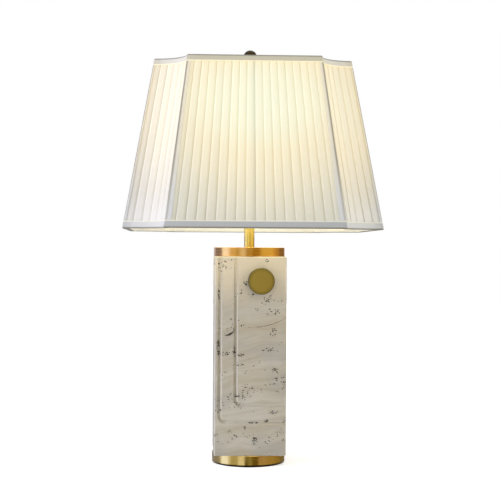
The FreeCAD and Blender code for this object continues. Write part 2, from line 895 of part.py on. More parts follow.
# Lampholder
def make_holder():
    radius = size.holder_diameter / 2
    inside = radius - size.holder_wall
    neck = size.holder_neck_diameter / 2
    bore = size.pipe_diameter / 2 + size.running_fit
    cap_top = size.holder_cap_height
    cone = size.holder_cone_height
    floor = size.holder_floor
    turned("holder_cap", [
        (bore, 0),
        (neck, 0),
        (radius, cone),
        (radius, cap_top),
        (inside, cap_top),
        (inside, cone + size.holder_wall / 2),
        (neck - size.holder_wall, floor),
        (bore, floor),
    ], z=holder_level)
    shell_top = size.holder_shell_height
    turned("holder_shell", [
        (inside, 0),
        (radius, 0),
        (radius, shell_top - size.holder_lip),
        (radius - size.holder_lip, shell_top),
        (inside - size.holder_lip, shell_top),
        (inside - size.holder_lip, shell_top - size.holder_wall),
        (inside, shell_top - size.holder_wall),
    ], z=holder_level + cap_top)
    sleeve = size.thread_sleeve_diameter / 2
    insert = inside - size.assembly_fit
    floor_height = size.insert_floor
    insert_level = holder_level + cap_top - size.insert_drop
    turned("holder_insert", [
        (0, 0),
        (insert, 0),
        (insert, size.insert_height),
        (sleeve + size.running_fit, size.insert_height),
        (sleeve + size.running_fit, floor_height),
        (0, floor_height),
    ], z=insert_level)
    tube("thread_sleeve", sleeve - size.thread_sleeve_wall, sleeve, size.thread_sleeve_height,
         z=insert_level + floor_height)
    make_contact(insert_level + floor_height)
    make_bulb(insert_level + floor_height + size.contact_rise + size.contact_sheet)


def make_contact(level):
    # Centre contact: a strip that lies on the insert's floor and springs up in the middle
    sheet_height = size.contact_sheet
    half = size.contact_length / 2
    foot = size.contact_foot_spacing / 2
    crest = size.contact_crest_length / 2
    rise = size.contact_rise
    body = new_body("centre_contact")
    strip = new_sketch(body, "contact_profile", offset=-size.contact_width / 2)
    draw_outline(strip, [
        (-half, 0), (-foot, 0), (-crest, rise), (crest, rise), (foot, 0), (half, 0),
        (half, sheet_height), (foot, sheet_height), (crest, rise + sheet_height),
        (-crest, rise + sheet_height), (-foot, sheet_height), (-half, sheet_height),
    ])
    add_feature(body, "Pad", "contact_strip", strip, Length=size.contact_width)
    place(body, z=level)


def make_bulb(level):
    tip = size.bulb_tip_diameter / 2
    insulator = size.bulb_insulator_diameter / 2
    tip_height = size.bulb_tip_height
    base_foot = tip_height + size.bulb_insulator_height
    turned("bulb_contact", [
        (0, 0),
        (tip / 2, 0),
        (tip, tip_height),
        (insulator, base_foot),
        (0, base_foot),
    ], z=level)
    base = size.bulb_base_diameter / 2
    wall = size.bulb_glass_wall
    base_height = size.bulb_base_height
    inner = size.bulb_neck_diameter / 2 + size.running_fit
    neck_seat = base_height - size.bulb_neck_height
    turned("bulb_base", [
        (0, 0),
        (insulator, 0),
        (base, size.bulb_insulator_height),
        (base, base_height),
        (inner, base_height),
        (inner, neck_seat),
        (inner - 2 * wall, neck_seat),
        (inner - 2 * wall, size.bulb_insulator_height),
        (0, size.bulb_insulator_height),
    ], z=level + base_foot)
    globe = size.bulb_globe_diameter / 2
    neck = size.bulb_neck_diameter / 2
    lean = size.bulb_shoulder_angle
    narrow = 1 - cosine(lean)
    flare = (globe * cosine(lean) - neck) / narrow
    straight = 2 * size.bulb_neck_height
    shoulder = straight + flare * sine(lean)
    centre = shoulder + globe * sine(lean)
    inside = globe - wall
    turned("bulb_glass", [
        (neck, 0),
        (neck, straight, flare, -1),
        (globe * cosine(lean), shoulder, globe, 1),
        (globe, centre, globe, 1),
        (0, centre + globe),
        (0, centre + inside, inside, -1),
        (inside, centre, inside, -1),
        (inside * cosine(lean), centre - inside * sine(lean), flare + wall, 1),
        (neck - wall, straight),
        (neck - wall, 0),
    ], z=level + base_foot + neck_seat)


# Harp: one bent wire with a drilled hub at its crown
def make_harp():
    half = size.harp_half_width
    span = size.saddle_half_span
    lean = size.harp_shoulder_angle
    shoulder = (half - span) / (2 - 2 * cosine(lean))
    across = shoulder * (1 - cosine(lean))
    up = shoulder * sine(lean)
    leg = size.harp_leg_height
    crown = size.harp_height
    crown_radius = size.harp_crown_radius
    flat = half - crown_radius
    right = [
        (span, 0),
        (span, leg, shoulder, -1),
        (span + across, leg + up, shoulder, 1),
        (half, leg + 2 * up),
        (half, crown - crown_radius, crown_radius, 1),
    ]
    left = [
        (flat, crown),
        (-flat, crown, crown_radius, 1),
        (-half, crown - crown_radius),
        (-half, leg + 2 * up, shoulder, 1),
        (-span - across, leg + up, shoulder, -1),
        (-span, leg),
        (-span, 0),
    ]
    body = new_body("harp_bow")
    path = new_sketch(body, "harp_path")
    draw_outline(path, right + left, closed=False)
    wire = new_sketch(body, "harp_wire", "XY_Plane")
    draw_circle(wire, span, 0, size.harp_wire_diameter / 2)
    sweep = body.newObject("PartDesign::AdditivePipe", "harp_bend")
    sweep.Profile = wire
    sweep.Spine = (path, [f"Edge{number + 1}" for number in range(len(right) + len(left) - 1)])
    body.Tip = sweep
    hub = new_sketch(body, "hub_circle", "XY_Plane", crown - size.harp_hub_height / 2)
    draw_circle(hub, 0, 0, size.harp_hub_diameter / 2)
    add_feature(body, "Pad", "harp_hub", hub, Length=size.harp_hub_height)
    bore = new_sketch(body, "journal_circle", "XY_Plane",
                      crown + size.harp_hub_height / 2 + size.overrun)
    draw_circle(bore, 0, 0, size.stud_journal_diameter / 2 + size.running_fit)
    add_feature(body, "Pocket", "journal_bore", bore,
                Length=size.harp_hub_height + 2 * size.overrun)
    place(body, z=holder_level)


def make_ferrules():
    sleeve = size.harp_wire_diameter / 2 + size.running_fit + size.sleeve_wall
    bore = sleeve + size.assembly_fit
    outside = bore + size.ferrule_wall
    guide = size.harp_wire_diameter / 2 + size.assembly_fit
    top = size.ferrule_height
    roof = top - size.ferrule_roof
    bevel = size.ferrule_wall / 2
    for label, side in (("ferrule_left", -1), ("ferrule_right", 1)):
        turned(label, [
            (bore, 0),
            (outside, 0),
            (outside, top - bevel),
            (outside - bevel, top),
            (guide, top),
            (guide, roof),
            (bore, roof),
        ], x=side * size.saddle_half_span, z=holder_level)


def make_stud():
    journal = size.stud_journal_diameter / 2
    rivet = size.stud_rivet_diameter / 2
    flange = size.stud_flange_diameter / 2
    thread = size.stud_diameter / 2
    under = size.stud_rivet_height
    top_of_journal = under + size.harp_hub_height + 2 * size.seat_gap
    top_of_flange = top_of_journal + size.stud_flange_height
    turned("swivel_stud", [
        (0, 0),
        (rivet, 0),
        (rivet, under),
        (journal, under),
        (journal, top_of_journal),
        (flange, top_of_journal),
        (flange, top_of_flange),
        (thread, top_of_flange),
        (thread, top_of_flange + size.stud_length),
        (0, top_of_flange + size.stud_length),
    ], z=spider_level - top_of_flange)


# Spider: a drilled hub and an arm to the middle of each side of the top bar
def make_spider():
    hub = size.spider_hub_diameter / 2
    thickness = size.spider_hub_thickness
    arm = size.spider_arm_diameter / 2
    disc = primitive("Cylinder", "spider_disc", Radius=hub, Height=thickness)
    drill = primitive("Cylinder", "spider_drill", z=-size.overrun,
                      Radius=size.stud_diameter / 2 + size.assembly_fit,
                      Height=thickness + 2 * size.overrun)
    widening = size.shade_bottom_width - size.shade_top_width
    half = (size.shade_top_width + widening * bar_level / size.shade_height) / 2
    start = hub - size.spider_arm_diameter
    run = half - bar_inset - size.frame_bar_thickness / 2 - size.seat_gap - start
    rise = shade_level + top_bar_level - spider_level - thickness
    lean = lean_angle(run, rise)
    length = root(run * run + rise * rise)
    pieces = [cut("spider_hub", disc, [drill])]
    for along_x, along_y in ((1, 0), (0, 1), (-1, 0), (0, -1)):
        pieces.append(primitive("Cylinder", "spider_arm", start * along_x, start * along_y, thickness,
                                (Vector(-along_y, along_x, 0), lean), Radius=arm, Height=length))
    spider = keep(fuse("shade_spider", pieces), "shade_spider")
    place(spider, z=spider_level)


def make_finial():
    collar = size.finial_collar_diameter / 2
    neck = size.finial_neck_diameter / 2
    ball = size.finial_ball_diameter / 2
    height = size.finial_height
    centre = height - ball
    bore = size.stud_diameter / 2 + size.running_fit
    lean = size.finial_shoulder_angle
    foot = size.finial_collar_height
    turned("finial", [
        (bore, 0),
        (collar, 0),
        (collar, foot),
        (neck, foot + size.finial_cove_radius / 2, size.finial_cove_radius, -1),
        (ball * cosine(lean), centre - ball * sine(lean), ball, 1),
        (ball, centre, ball, 1),
        (0, height),
        (0, size.finial_thread_depth),
        (bore, size.finial_thread_depth),
    ], z=finial_level)


# Plan of the shade at a height above its lower rim
def half_width(height):
    bottom = size.shade_bottom_width.value / 2
    top = size.shade_top_width.value / 2
    return bottom + (top - bottom) * height / size.shade_height.value


def scoop_radius(height):
    bottom = size.scoop_bottom_radius.value
    top = size.scoop_top_radius.value
    return bottom + (top - bottom) * height / size.shade_height.value


def quarter_turns(vector):
    return [Rotation(Vector(0, 0, 1), 90 * turn).multVec(vector) for turn in range(4)]


def scoop_point(height, inset, angle):
    # On the scoop of the corner at +X +Y: 0 degrees lies on the +X side, 90 on the +Y side
    half = half_width(height)
    reach = scoop_radius(height) + inset
    turn = math.radians(angle)
    return Vector(half - reach * math.sin(turn), half - reach * math.cos(turn), height)


def side_end(height, inset):
    # Half length of a straight side at an inset
    reach = scoop_radius(height) + inset
    return half_width(height) - math.sqrt(reach ** 2 - inset ** 2)


def plan_edges(height, inset):
    edges = []
    x = half_width(height) - inset
    y = side_end(height, inset)
    middle = scoop_point(height, inset, 45)
    starts = quarter_turns(Vector(x, -y, height))
    ends = quarter_turns(Vector(x, y, height))
    middles = quarter_turns(middle)
    for index in range(4):
        edges.append(Part.LineSegment(starts[index], ends[index]).toShape())
        arc = Part.Arc(ends[index], middles[index], starts[(index + 1) % 4])
        edges.append(arc.toShape())
    return edges


def plan_loft(low, high, inset):
    wires = [Part.Wire(plan_edges(height, inset)) for height in (low, high)]
    return Part.makeLoft(wires, True, True)


# Pleated cloth: ruled between the folds of the lower and of the upper edge
def pleat_points(along, count, place_point):
    # The folds of one edge as points, outside first and back along the inside
    cloth = size.pleat_cloth.value
    face = []
    for number in range(count):
        for step, depth in zip(pleat_along_shares, pleat_depth_shares):
            face.append((along * (number + step) / count, depth))
    face.append((along, pleat_depth_shares[0]))
    outside = [place_point(spot, depth, 0) for spot, depth in face]
    inside = [place_point(spot, depth, cloth) for spot, depth in reversed(face)]
    return outside + inside


def ruled(lower, upper):
    wires = [Part.makePolygon(points + points[:1]) for points in (lower, upper)]
    return Part.makeLoft(wires, True, True)


def relief_at(height):
    # The folds grow flatter as the shade grows narrower
    return size.pleat_relief.value * half_width(height) / half_width(0)


def face_points(height):
    clear = pleat_back_inset.value + size.seat_gap.value
    end = half_width(height) - scoop_radius(height) - clear
    front = half_width(height) - pleat_inset.value

    def place_point(spot, depth, behind):
        sunk = depth * relief_at(height) + behind
        return Vector(spot - end, sunk - front, height)

    return pleat_points(2 * end, int(size.face_pleat_count.value), place_point)


def corner_points(height):
    shallow = pleat_inset.value
    reach = scoop_radius(height) + shallow
    first = math.degrees(math.asin(shallow / reach))

    def place_point(spot, depth, behind):
        sunk = shallow + depth * relief_at(height) + behind
        return scoop_point(height, sunk, 90 - first - spot)

    return pleat_points(90 - 2 * first, int(size.corner_pleat_count.value), place_point)


def make_pleats():
    low = size.hem_cloth.value + size.seat_gap.value
    high = size.shade_height.value - low
    face = ruled(face_points(low), face_points(high))
    corner = ruled(corner_points(low), corner_points(high))
    for name, angle in zip(("front", "right", "back", "left"), side_turns):
        new_shape(f"pleats_{name}", face.copy(), shade_level, angle)
    for name, angle in zip(("back_right", "back_left", "front_left", "front_right"), side_turns):
        new_shape(f"pleats_{name}", corner.copy(), shade_level, angle)


def turned_about_axis(shape, angle):
    copy = shape.copy()
    copy.rotate(Vector(0, 0, 0), Vector(0, 0, 1), angle)
    return copy


# Hems folded over the frame wires
def make_hems():
    cloth = size.hem_cloth.value
    overrun = size.overrun.value
    height = size.shade_height.value
    for label, low, high, inner_low, inner_high in (
        ("hem_bottom", 0, size.hem_bottom_height.value,
         cloth, size.hem_bottom_height.value + overrun),
        ("hem_top", height - size.hem_top_height.value, height,
         height - size.hem_top_height.value - overrun, height - cloth),
    ):
        band = plan_loft(low, high, 0)
        band = band.cut(plan_loft(low - overrun, high + overrun, hem_back_inset.value))
        channel = plan_loft(inner_low, inner_high, cloth)
        channel = channel.cut(plan_loft(low - overrun, high + overrun, hem_inset.value))
        hem = band.cut(channel)
        if label == "hem_top":
            hem = hem.cut(spider_passages())
        new_shape(label, hem, shade_level)


def spider_passages():
    # Room for the arms where they reach the top wire
    radius = (size.spider_arm_diameter / 2 + size.seat_gap).value
    height = top_bar_level.value
    half = half_width(height)
    length = size.hem_cloth.value * 2 + size.seat_gap.value * 4
    start = half - hem_back_inset.value - size.seat_gap.value * 2
    slots = []
    for angle in side_turns:
        round_end = Part.makeCylinder(radius, length, Vector(start, 0, height), Vector(1, 0, 0))
        drop = Part.makeBox(length, 2 * radius, size.hem_top_height.value,
                            Vector(start, -radius, height - size.hem_top_height.value))
        slots.append(turned_about_axis(round_end.fuse(drop), angle))
    return slots


def faceted_plan(height, inset):
    # The plan with straight facets in place of the scoops
    count = int(size.lining_facet_count.value)
    reach = scoop_radius(height) + inset
    first = math.degrees(math.asin(inset / reach))
    points = []
    for turn in range(4):
        for number in range(count + 1):
            angle = 90 - first - (90 - 2 * first) * number / count
            point = scoop_point(height, inset, angle)
            points.append(Rotation(Vector(0, 0, 1), -90 * turn).multVec(point))
    return points


def make_lining():
    low = size.hem_cloth.value + size.seat_gap.value
    high = (top_bar_level - size.spider_arm_diameter / 2 - size.seat_gap * 2).value
    overrun = size.overrun.value
    outer = lining_inset.value
    inner = outer + size.lining_cloth.value
    skin = ruled(faceted_plan(low, outer), faceted_plan(high, outer))
    hollow = ruled(faceted_plan(low - overrun, inner), faceted_plan(high + overrun, inner))
    new_shape("shade_lining", skin.cut(hollow), shade_level)


# Tape over each of the eight upright corners, from hem to hem
def binding_points(height, side_width, scoop_width):
    cloth = size.hem_cloth.value
    half = half_width(height)
    reach = scoop_radius(height)
    sweep = math.degrees(scoop_width / reach)
    corner = side_end(height, cloth)
    line_end = half - reach - side_width
    return [
        Vector(half, line_end, height),
        Vector(half, half - reach, height),
        scoop_point(height, 0, sweep / 2),
        scoop_point(height, 0, sweep),
        scoop_point(height, cloth, sweep),
        scoop_point(height, cloth, sweep / 2),
        Vector(half - cloth, corner, height),
        Vector(half - cloth, line_end, height),
    ]


def make_bindings():
    low = size.hem_bottom_height.value + size.seat_gap.value
    high = size.shade_height.value - size.hem_top_height.value - size.seat_gap.value
    strip = ruled(binding_points(low, size.binding_bottom_width.value,
                                 size.scoop_binding_bottom_width.value),
                  binding_points(high, size.binding_top_width.value,
                                 size.scoop_binding_top_width.value))
    mirrored = strip.mirror(Vector(0, 0, 0), Vector(1, -1, 0))
    strips = [turned_about_axis(piece, angle) for angle in side_turns
              for piece in (strip, mirrored)]
    new_shape("edge_bindings", Part.makeCompound(strips), shade_level)


# Frame: a flat bar in each hem and twelve upright ribs
def ring_shape(level):
    low = level - size.frame_bar_height.value / 2
    high = level + size.frame_bar_height.value / 2
    half_bar = size.frame_bar_thickness.value / 2
    overrun = size.overrun.value
    outer = plan_loft(low, high, bar_inset.value - half_bar)
    return outer.cut(plan_loft(low - overrun, high + overrun, bar_inset.value + half_bar))


def rib_section(centre, outward):
    # Flat section that faces outward
    out = Vector(outward).normalize() * (size.rib_thickness.value / 2)
    across = Vector(-out.y, out.x, 0).normalize() * (size.rib_width.value / 2)
    return [centre - out - across, centre + out - across, centre + out + across, centre - out + across]


def make_ribs():
    clear = size.frame_bar_height.value / 2 + size.seat_gap.value
    inset = bar_inset.value
    sections = []
    for height in (bar_level.value + clear, top_bar_level.value - clear):
        x = half_width(height) - inset
        y = side_end(height, inset)
        sections.append([
            rib_section(Vector(x, 0, height), Vector(1, 0, 0)),
            rib_section(Vector(x, y, height), Vector(1, 1, 0)),
            rib_section(Vector(x, -y, height), Vector(1, -1, 0)),
        ])
    ribs = [ruled(lower, upper) for lower, upper in zip(*sections)]
    turned_ribs = [turned_about_axis(rib, angle) for angle in side_turns for rib in ribs]
    new_shape("frame_ribs", Part.makeCompound(turned_ribs), shade_level)


def make_frame():
    new_shape("frame_bar_bottom", ring_shape(bar_level.value), shade_level)
    new_shape("frame_bar_top", ring_shape(top_bar_level.value), shade_level)
    make_ribs()


def check_and_export():
    document.recompute()
    for item in document.Objects:
        if "Invalid" in item.State or "Error" in item.State:
            raise RuntimeError(f"{item.Label} failed: {item.State}")
    os.makedirs("parts", exist_ok=True)
    triangles = 0
    for item in parts:
        shape = item.Shape
        if shape.isNull() or not shape.isValid() or not shape.Solids:
            raise RuntimeError(f"{item.Label} has no valid solid")
        shape.exportStep(f"parts/{item.Label}.step")
        facets = MeshPart.meshFromShape(Shape=shape.copy(True, False), LinearDeflection=facet_tolerance,
                                        AngularDeflection=facet_angle).CountFacets
        triangles += facets
        print(f"{item.Label}: {len(shape.Solids)} solid, {shape.Volume / 1000:.2f} cm3, {facets}")
    print(f"{len(parts)} sub-parts, {triangles} triangles")


make_pad()
make_base_disc()
make_inlet()
make_column()
make_cap_disc()
make_pole()
make_pipe()
make_pipe_nut()
make_terminal_block()
make_leads()
make_dimmer()
make_plate_screws()
make_knob()
make_shaft()
make_saddle()
make_holder()
make_harp()
make_ferrules()
make_stud()
make_spider()
make_finial()
make_pleats()
make_hems()
make_lining()
make_bindings()
make_frame()
check_and_export()
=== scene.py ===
import math

import bmesh
import bpy
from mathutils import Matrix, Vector


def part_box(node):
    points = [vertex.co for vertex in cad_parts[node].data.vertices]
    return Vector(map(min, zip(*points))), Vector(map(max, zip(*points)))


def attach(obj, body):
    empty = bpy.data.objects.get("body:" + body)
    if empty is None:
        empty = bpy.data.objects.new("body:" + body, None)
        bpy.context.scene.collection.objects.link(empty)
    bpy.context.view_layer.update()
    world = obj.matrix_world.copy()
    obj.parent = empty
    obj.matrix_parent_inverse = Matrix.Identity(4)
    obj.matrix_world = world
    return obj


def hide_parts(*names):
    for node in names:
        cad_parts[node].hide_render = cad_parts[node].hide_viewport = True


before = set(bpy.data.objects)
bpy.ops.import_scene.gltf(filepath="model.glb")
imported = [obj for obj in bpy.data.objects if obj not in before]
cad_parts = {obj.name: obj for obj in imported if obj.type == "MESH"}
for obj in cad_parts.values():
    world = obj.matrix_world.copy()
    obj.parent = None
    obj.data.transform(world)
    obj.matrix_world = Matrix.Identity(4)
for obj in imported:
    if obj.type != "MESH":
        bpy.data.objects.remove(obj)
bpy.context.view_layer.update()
print("frame loaded:", len(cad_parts), "nodes")

mm = 0.001


def placed(name, data):
    made = bpy.data.objects.new(name, data)
    bpy.context.collection.objects.link(made)
    return made


# Camera: stands a little left of the grooved face, level with the upper disc
camera = {"distance": 1.965, "height": 0.3227, "leftTurn": 2.8, "roll": -0.3, "lens": 91.4, "sensor": 36,
          "shiftX": 0.0016, "shiftY": 0.0044}


def makeCamera():
    data = bpy.data.cameras.new("camera")
    data.lens, data.sensor_width = camera["lens"], camera["sensor"]
    data.shift_x, data.shift_y = camera["shiftX"], camera["shiftY"]
    viewer = placed("camera", data)
    turn = math.radians(camera["leftTurn"])
    reach = camera["distance"]
    viewer.location = (-math.sin(turn) * reach, -math.cos(turn) * reach, camera["height"])
    viewer.rotation_euler = (math.radians(90), math.radians(camera["roll"]), -turn)
    bpy.context.scene.camera = viewer


makeCamera()
print("camera set")


# Node helpers, for materials and for geometry. Each works in the tree of the sockets that it is given
def addNode(tree, kind, **settings):
    # Shader nodes go by their short names
    node = tree.nodes.new(kind if "Node" in kind else f"ShaderNode{kind}")
    for name, value in settings.items():
        setattr(node, name, value)
    return node


def isSocket(value):
    return isinstance(value, bpy.types.NodeSocket)


def treeOf(values):
    return next(value.id_data for value in values if isSocket(value))


def feed(socket, value):
    if isSocket(value):
        socket.id_data.links.new(value, socket)
    else:
        socket.default_value = (*value, 1.0) if socket.type == "RGBA" else value


def fedNode(kind, *values, **settings):
    node = addNode(treeOf(values), kind, **settings)
    for socket, value in zip(node.inputs, values):
        feed(socket, value)
    return node


def namedNode(kind, inputs, **settings):
    node = addNode(treeOf(inputs.values()), kind, **settings)
    for name, value in inputs.items():
        feed(node.inputs[name], value)
    return node


def sourceOf(beside, kind, output, **settings):
    # A node that takes nothing in
    return addNode(beside.id_data, kind, **settings).outputs[output]


def calc(operation, *values):
    return fedNode("Math", *values, operation=operation).outputs[0]


def chained(operation):
    # One operation over any number of values, from left to right
    def joined(first, *others):
        for other in others:
            first = calc(operation, first, other)
        return first
    return joined


plus, minus, times, greatest = [chained(word) for word in ("ADD", "SUBTRACT", "MULTIPLY", "MAXIMUM")]


def vectorCalc(operation, *values, output="Vector"):
    return fedNode("VectorMath", *values, operation=operation).outputs[output]


def lengthOf(vector):
    return vectorCalc("LENGTH", vector, output="Value")


def scaleBy(vector, amount):
    return vectorCalc("SCALE", vector, (0.0, 0.0, 0.0), (0.0, 0.0, 0.0), amount)


def scaled(vector, x, y, z):
    return vectorCalc("MULTIPLY", vector, (x, y, z))


def parts(vector):
    return fedNode("SeparateXYZ", vector).outputs


def vectorOf(x, y, z):
    return fedNode("CombineXYZ", x, y, z).outputs[0]


def ramp(value, fromLow, fromHigh, toLow=0.0, toHigh=1.0, smooth=True):
    return fedNode("MapRange", value, fromLow, fromHigh, toLow, toHigh,
                   interpolation_type="SMOOTHSTEP" if smooth else "LINEAR").outputs[0]


def product(limits, **values):
    # Each value goes through the limits of its name, and the results are multiplied
    return times(*[ramp(value, *limits[name]) for name, value in values.items()])


def mixOf(kind, share, first, second, **settings):
    # This node has sockets of their own for vectors and for colours
    start, result = {"VECTOR": (4, 1), "RGBA": (6, 2)}[kind]
    node = addNode(treeOf((share, first, second)), "Mix", data_type=kind, **settings)
    for number, value in ((0, share), (start, first), (start + 1, second)):
        feed(node.inputs[number], value)
    return node.outputs[result]


def mix(share, first, second, blend="MIX"):
    return mixOf("RGBA", share, first, second, blend_type=blend)


def tintWhere(body, tint, value, *limits):
    # The body takes the tint on as the value goes through its limits
    return mix(ramp(value, *limits), body, tint)


def noiseOf(vector, scale, detail=3.0, roughness=0.5, output="Fac"):
    inputs = {"Vector": vector, "Scale": scale, "Detail": detail, "Roughness": roughness}
    return namedNode("TexNoise", inputs, noise_dimensions="3D").outputs[output]


def dimmed(tint, share):
    return tuple(channel * share for channel in tint)


black = (0.0, 0.0, 0.0)


def newMaterial(name, **settings):
    material = bpy.data.materials.new(name)
    material.use_nodes = True
    surface = material.node_tree.nodes["Principled BSDF"]
    for label, value in settings.items():
        surface.inputs[label.replace("_", " ")].default_value = value
    return material, surface, sourceOf(surface, "TexCoord", "Object")


def normalOf(place):
    return parts(sourceOf(place, "TexCoord", "Normal"))


def addBump(surface, height, strength, distance):
    inputs = {"Strength": strength, "Distance": distance, "Height": height}
    feed(surface.inputs["Normal"], namedNode("Bump", inputs).outputs[0])


# Travertine. Four numbers are what a value goes from and to, and what it gives there
stone = {
    "warm": (0.495, 0.443, 0.342),
    "cool": (0.455, 0.435, 0.39),
    "pale": (0.59, 0.555, 0.475),
    # Painted light: the top of the column is painted warmer and paler, as the lamp above lights it
    "lampLitTint": (0.87, 0.77, 0.585),
    "stain": (0.34, 0.26, 0.165),
    # Painted shade and light in the grooves: groove is the dark of the floor and the right-facing wall, wall the pale
    # of walls facing left or down
    "groove": (0.315, 0.275, 0.215),
    "wall": (0.73, 0.70, 0.62),
    # Painted highlight along the upper arris
    "arris": (1.0, 0.98, 0.74),
    # Painted shade inside the pits and cracks, near black
    "pit": (0.03, 0.021, 0.014),
    "front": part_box("stone_column")[0].y,
    "top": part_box("stone_column")[1].z,
    "frontDepth": (2.5 * mm, 3 * mm, 1.0, 0.0),
    "arrisDrop": (1.3 * mm, 1.9 * mm, 0.9, 0.0),
    "grainScale": 900.0,
    "grainStain": (0.3, 0.75, 0.0, 0.14),
    "grainDepth": 0.12,
    "holeShade": 0.98,
    "bump": 0.6,
    "bumpDepth": 0.9 * mm,
    "roughness": 0.6,
}
# Bedding: soft bands that dip a little, drift and pinch out. Its last two values place the painted lamp light on the
# column's top
bedding = {"dip": 0.2, "driftScale": 11.0, "drift": 0.05, "stretch": (7.0, 7.0, 46.0),
           "fineStretch": (1.6, 1.6, 5.5), "patchStretch": (1.0, 1.0, 1.4), "patchScale": 14.0,
           "palest": (0.38, 0.62), "coolest": (0.42, 0.64, 0.0, 0.85), "stained": (0.45, 0.70, 0.0, 0.24),
           "topWaver": 0.09, "lampLitTop": (0.265, 0.36, 0.0, 0.8)}
# Pits open where the bedding is loose, fewer of them on the grooved face
pitting = {"looseStretch": (3.0, 3.0, 1.3), "looseShift": (3.1, 1.7, 0.4),
           "looseShare": (0.50, 0.72, 0.03, 0.42), "frontShare": (0.0, 1.0, 1.0, 0.4), "zoneFade": (0.3, 1.1),
           "raggedScale": 480.0, "ragged": 1.4 * mm, "large": (3.4 * mm, 0.64, 1.0),
           "small": (1.9 * mm, 0.70, 1.35), "flatness": 1.5, "opening": 0.05, "edge": 0.08}
# Loose spots on the grooved face, in millimetres: x, z, half width, half height, how open
pitZones = [(-7.5, 276, 5, 4, 0.55), (-39, 309, 5, 3, 0.4), (24, 310, 6, 4, 0.5), (33, 286, 3, 3, 0.5),
            (2, 259, 8, 3, 0.4), (27, 252, 9, 7, 0.42), (9, 237, 5, 4, 0.4), (33, 233, 16, 7, 0.26),
            (-28.6, 221.7, 2.5, 2.5, 0.6), (-48, 257, 2.5, 13, 0.65), (-48.5, 180, 3.5, 14, 0.9),
            (-38, 170, 10, 4, 0.5), (-24, 173, 3, 10, 0.95), (-14, 168, 7, 3, 0.65), (30, 176, 14, 5, 0.35),
            (38, 145, 8, 9, 0.2), (-9, 121, 7, 4, 0.45), (40, 112, 6, 5, 0.3), (34, 82, 9, 6, 0.36),
            (4, 66, 13, 2.2, 0.6), (24, 68, 4, 4, 0.5), (-9, 58, 3, 3, 0.85), (7, 39, 5, 8, 0.55),
            (30, 44, 3, 2, 0.5), (-30, 53, 5, 3, 0.4), (-51, 47, 4, 4, 0.5), (35, 202, 9, 9, 0.22)]
# Grooves: their depth, where their level runs start and end, and where each wall takes its painted light or shade
grooves = {"depth": (0.1 * mm, 0.6 * mm), "levelStart": (0.076, 0.080, -0.042, -0.019),
           "levelFade": (0.0, 0.008), "levelTop": (0.100, 0.105, 0.9, 0.0), "underside": (-0.4, 0.2, 1.0, 0.0),
           "fadeUp": (0.225, 0.315, 1.0, 0.4), "leftFacing": (-0.4, -0.15, 0.9, 0.0),
           "rightFacing": (-0.3, 0.1), "streakStretch": (700.0, 700.0, 420.0),
           "streaks": (0.36, 0.62, 0.2, 0.85)}
# An old crack and a fissure on the same face, in metres
crack = {"x": -38.5 * mm, "z": 214.5 * mm, "radius": 17 * mm,
         "run": (-40 * mm, -22.5 * mm), "width": 1.4 * mm, "edge": 0.3 * mm,
         "roughScale": 300.0, "rough": 2.2 * mm}
fissure = {"x": -12 * mm, "z": 209.3 * mm, "rise": 56.0, "power": 3.0, "waver": 1.8,
           "edge": (0.15 * mm, 0.84 * mm, 0.75, 0.0), "start": (0.0, 12 * mm),
           "breakScale": 190.0, "breaks": (0.42, 0.56, 0.25, 1.0)}


def stoneBody(place):
    x, y, z = parts(place)
    drift = noiseOf(place, bedding["driftScale"], detail=2.0)
    bed = plus(minus(z, times(plus(x, y), bedding["dip"])), times(drift, bedding["drift"]))
    bedded = scaled(vectorOf(x, y, bed), *bedding["stretch"])
    band = noiseOf(bedded, 1.0, detail=5.0, roughness=0.6)
    fine = noiseOf(scaled(bedded, *bedding["fineStretch"]), 1.0, detail=4.0, roughness=0.6)
    patch = noiseOf(scaled(place, *bedding["patchStretch"]), bedding["patchScale"])
    body = tintWhere(stone["warm"], stone["pale"], band, *bedding["palest"])
    body = tintWhere(body, stone["cool"], patch, *bedding["coolest"])
    body = tintWhere(body, stone["stain"], fine, *bedding["stained"])
    # Painted light from the lamp above, on the top of the column
    top = plus(z, times(patch, bedding["topWaver"]))
    return tintWhere(body, stone["lampLitTint"], top, *bedding["lampLitTop"]), bedded


def cellPits(place, density, cell, size, share):
    # Small cells, of which the share that density gives is open
    inputs = {"Vector": scaled(place, 1.0, 1.0, pitting["flatness"]), "Scale": 1 / cell}
    cells = namedNode("TexVoronoi", inputs)
    chance, spread = parts(cells.outputs["Color"])[:2]
    opened = ramp(minus(times(density, share), chance), 0.0, pitting["opening"])
    reach = times(opened, size / 2, plus(spread, 1.0))
    return ramp(minus(cells.outputs["Distance"], reach), -pitting["edge"], 0.0, 1.0, 0.0)


def stonePits(place, bedded, onFront):
    loose = noiseOf(vectorCalc("ADD", scaled(bedded, *pitting["looseStretch"]),
                               pitting["looseShift"]), 1.0, roughness=0.6)
    density = product(pitting, looseShare=loose, frontShare=onFront)
    x, y, z = parts(place)
    onFace = vectorOf(x, 0.0, z)
    for zoneX, zoneZ, halfWidth, halfHeight, opened in pitZones:
        offset = vectorCalc("SUBTRACT", onFace, (zoneX * mm, 0.0, zoneZ * mm))
        away = lengthOf(vectorCalc("DIVIDE", offset, (halfWidth * mm, 1.0, halfHeight * mm)))
        near = times(ramp(away, *pitting["zoneFade"], opened, 0.0), onFront)
        density = greatest(density, near)
    wobble = noiseOf(place, pitting["raggedScale"], detail=2.0, output="Color")
    ragged = vectorCalc("ADD", place, scaleBy(wobble, pitting["ragged"]))
    return greatest(*[cellPits(ragged, density, *pitting[kind]) for kind in ("large", "small")])


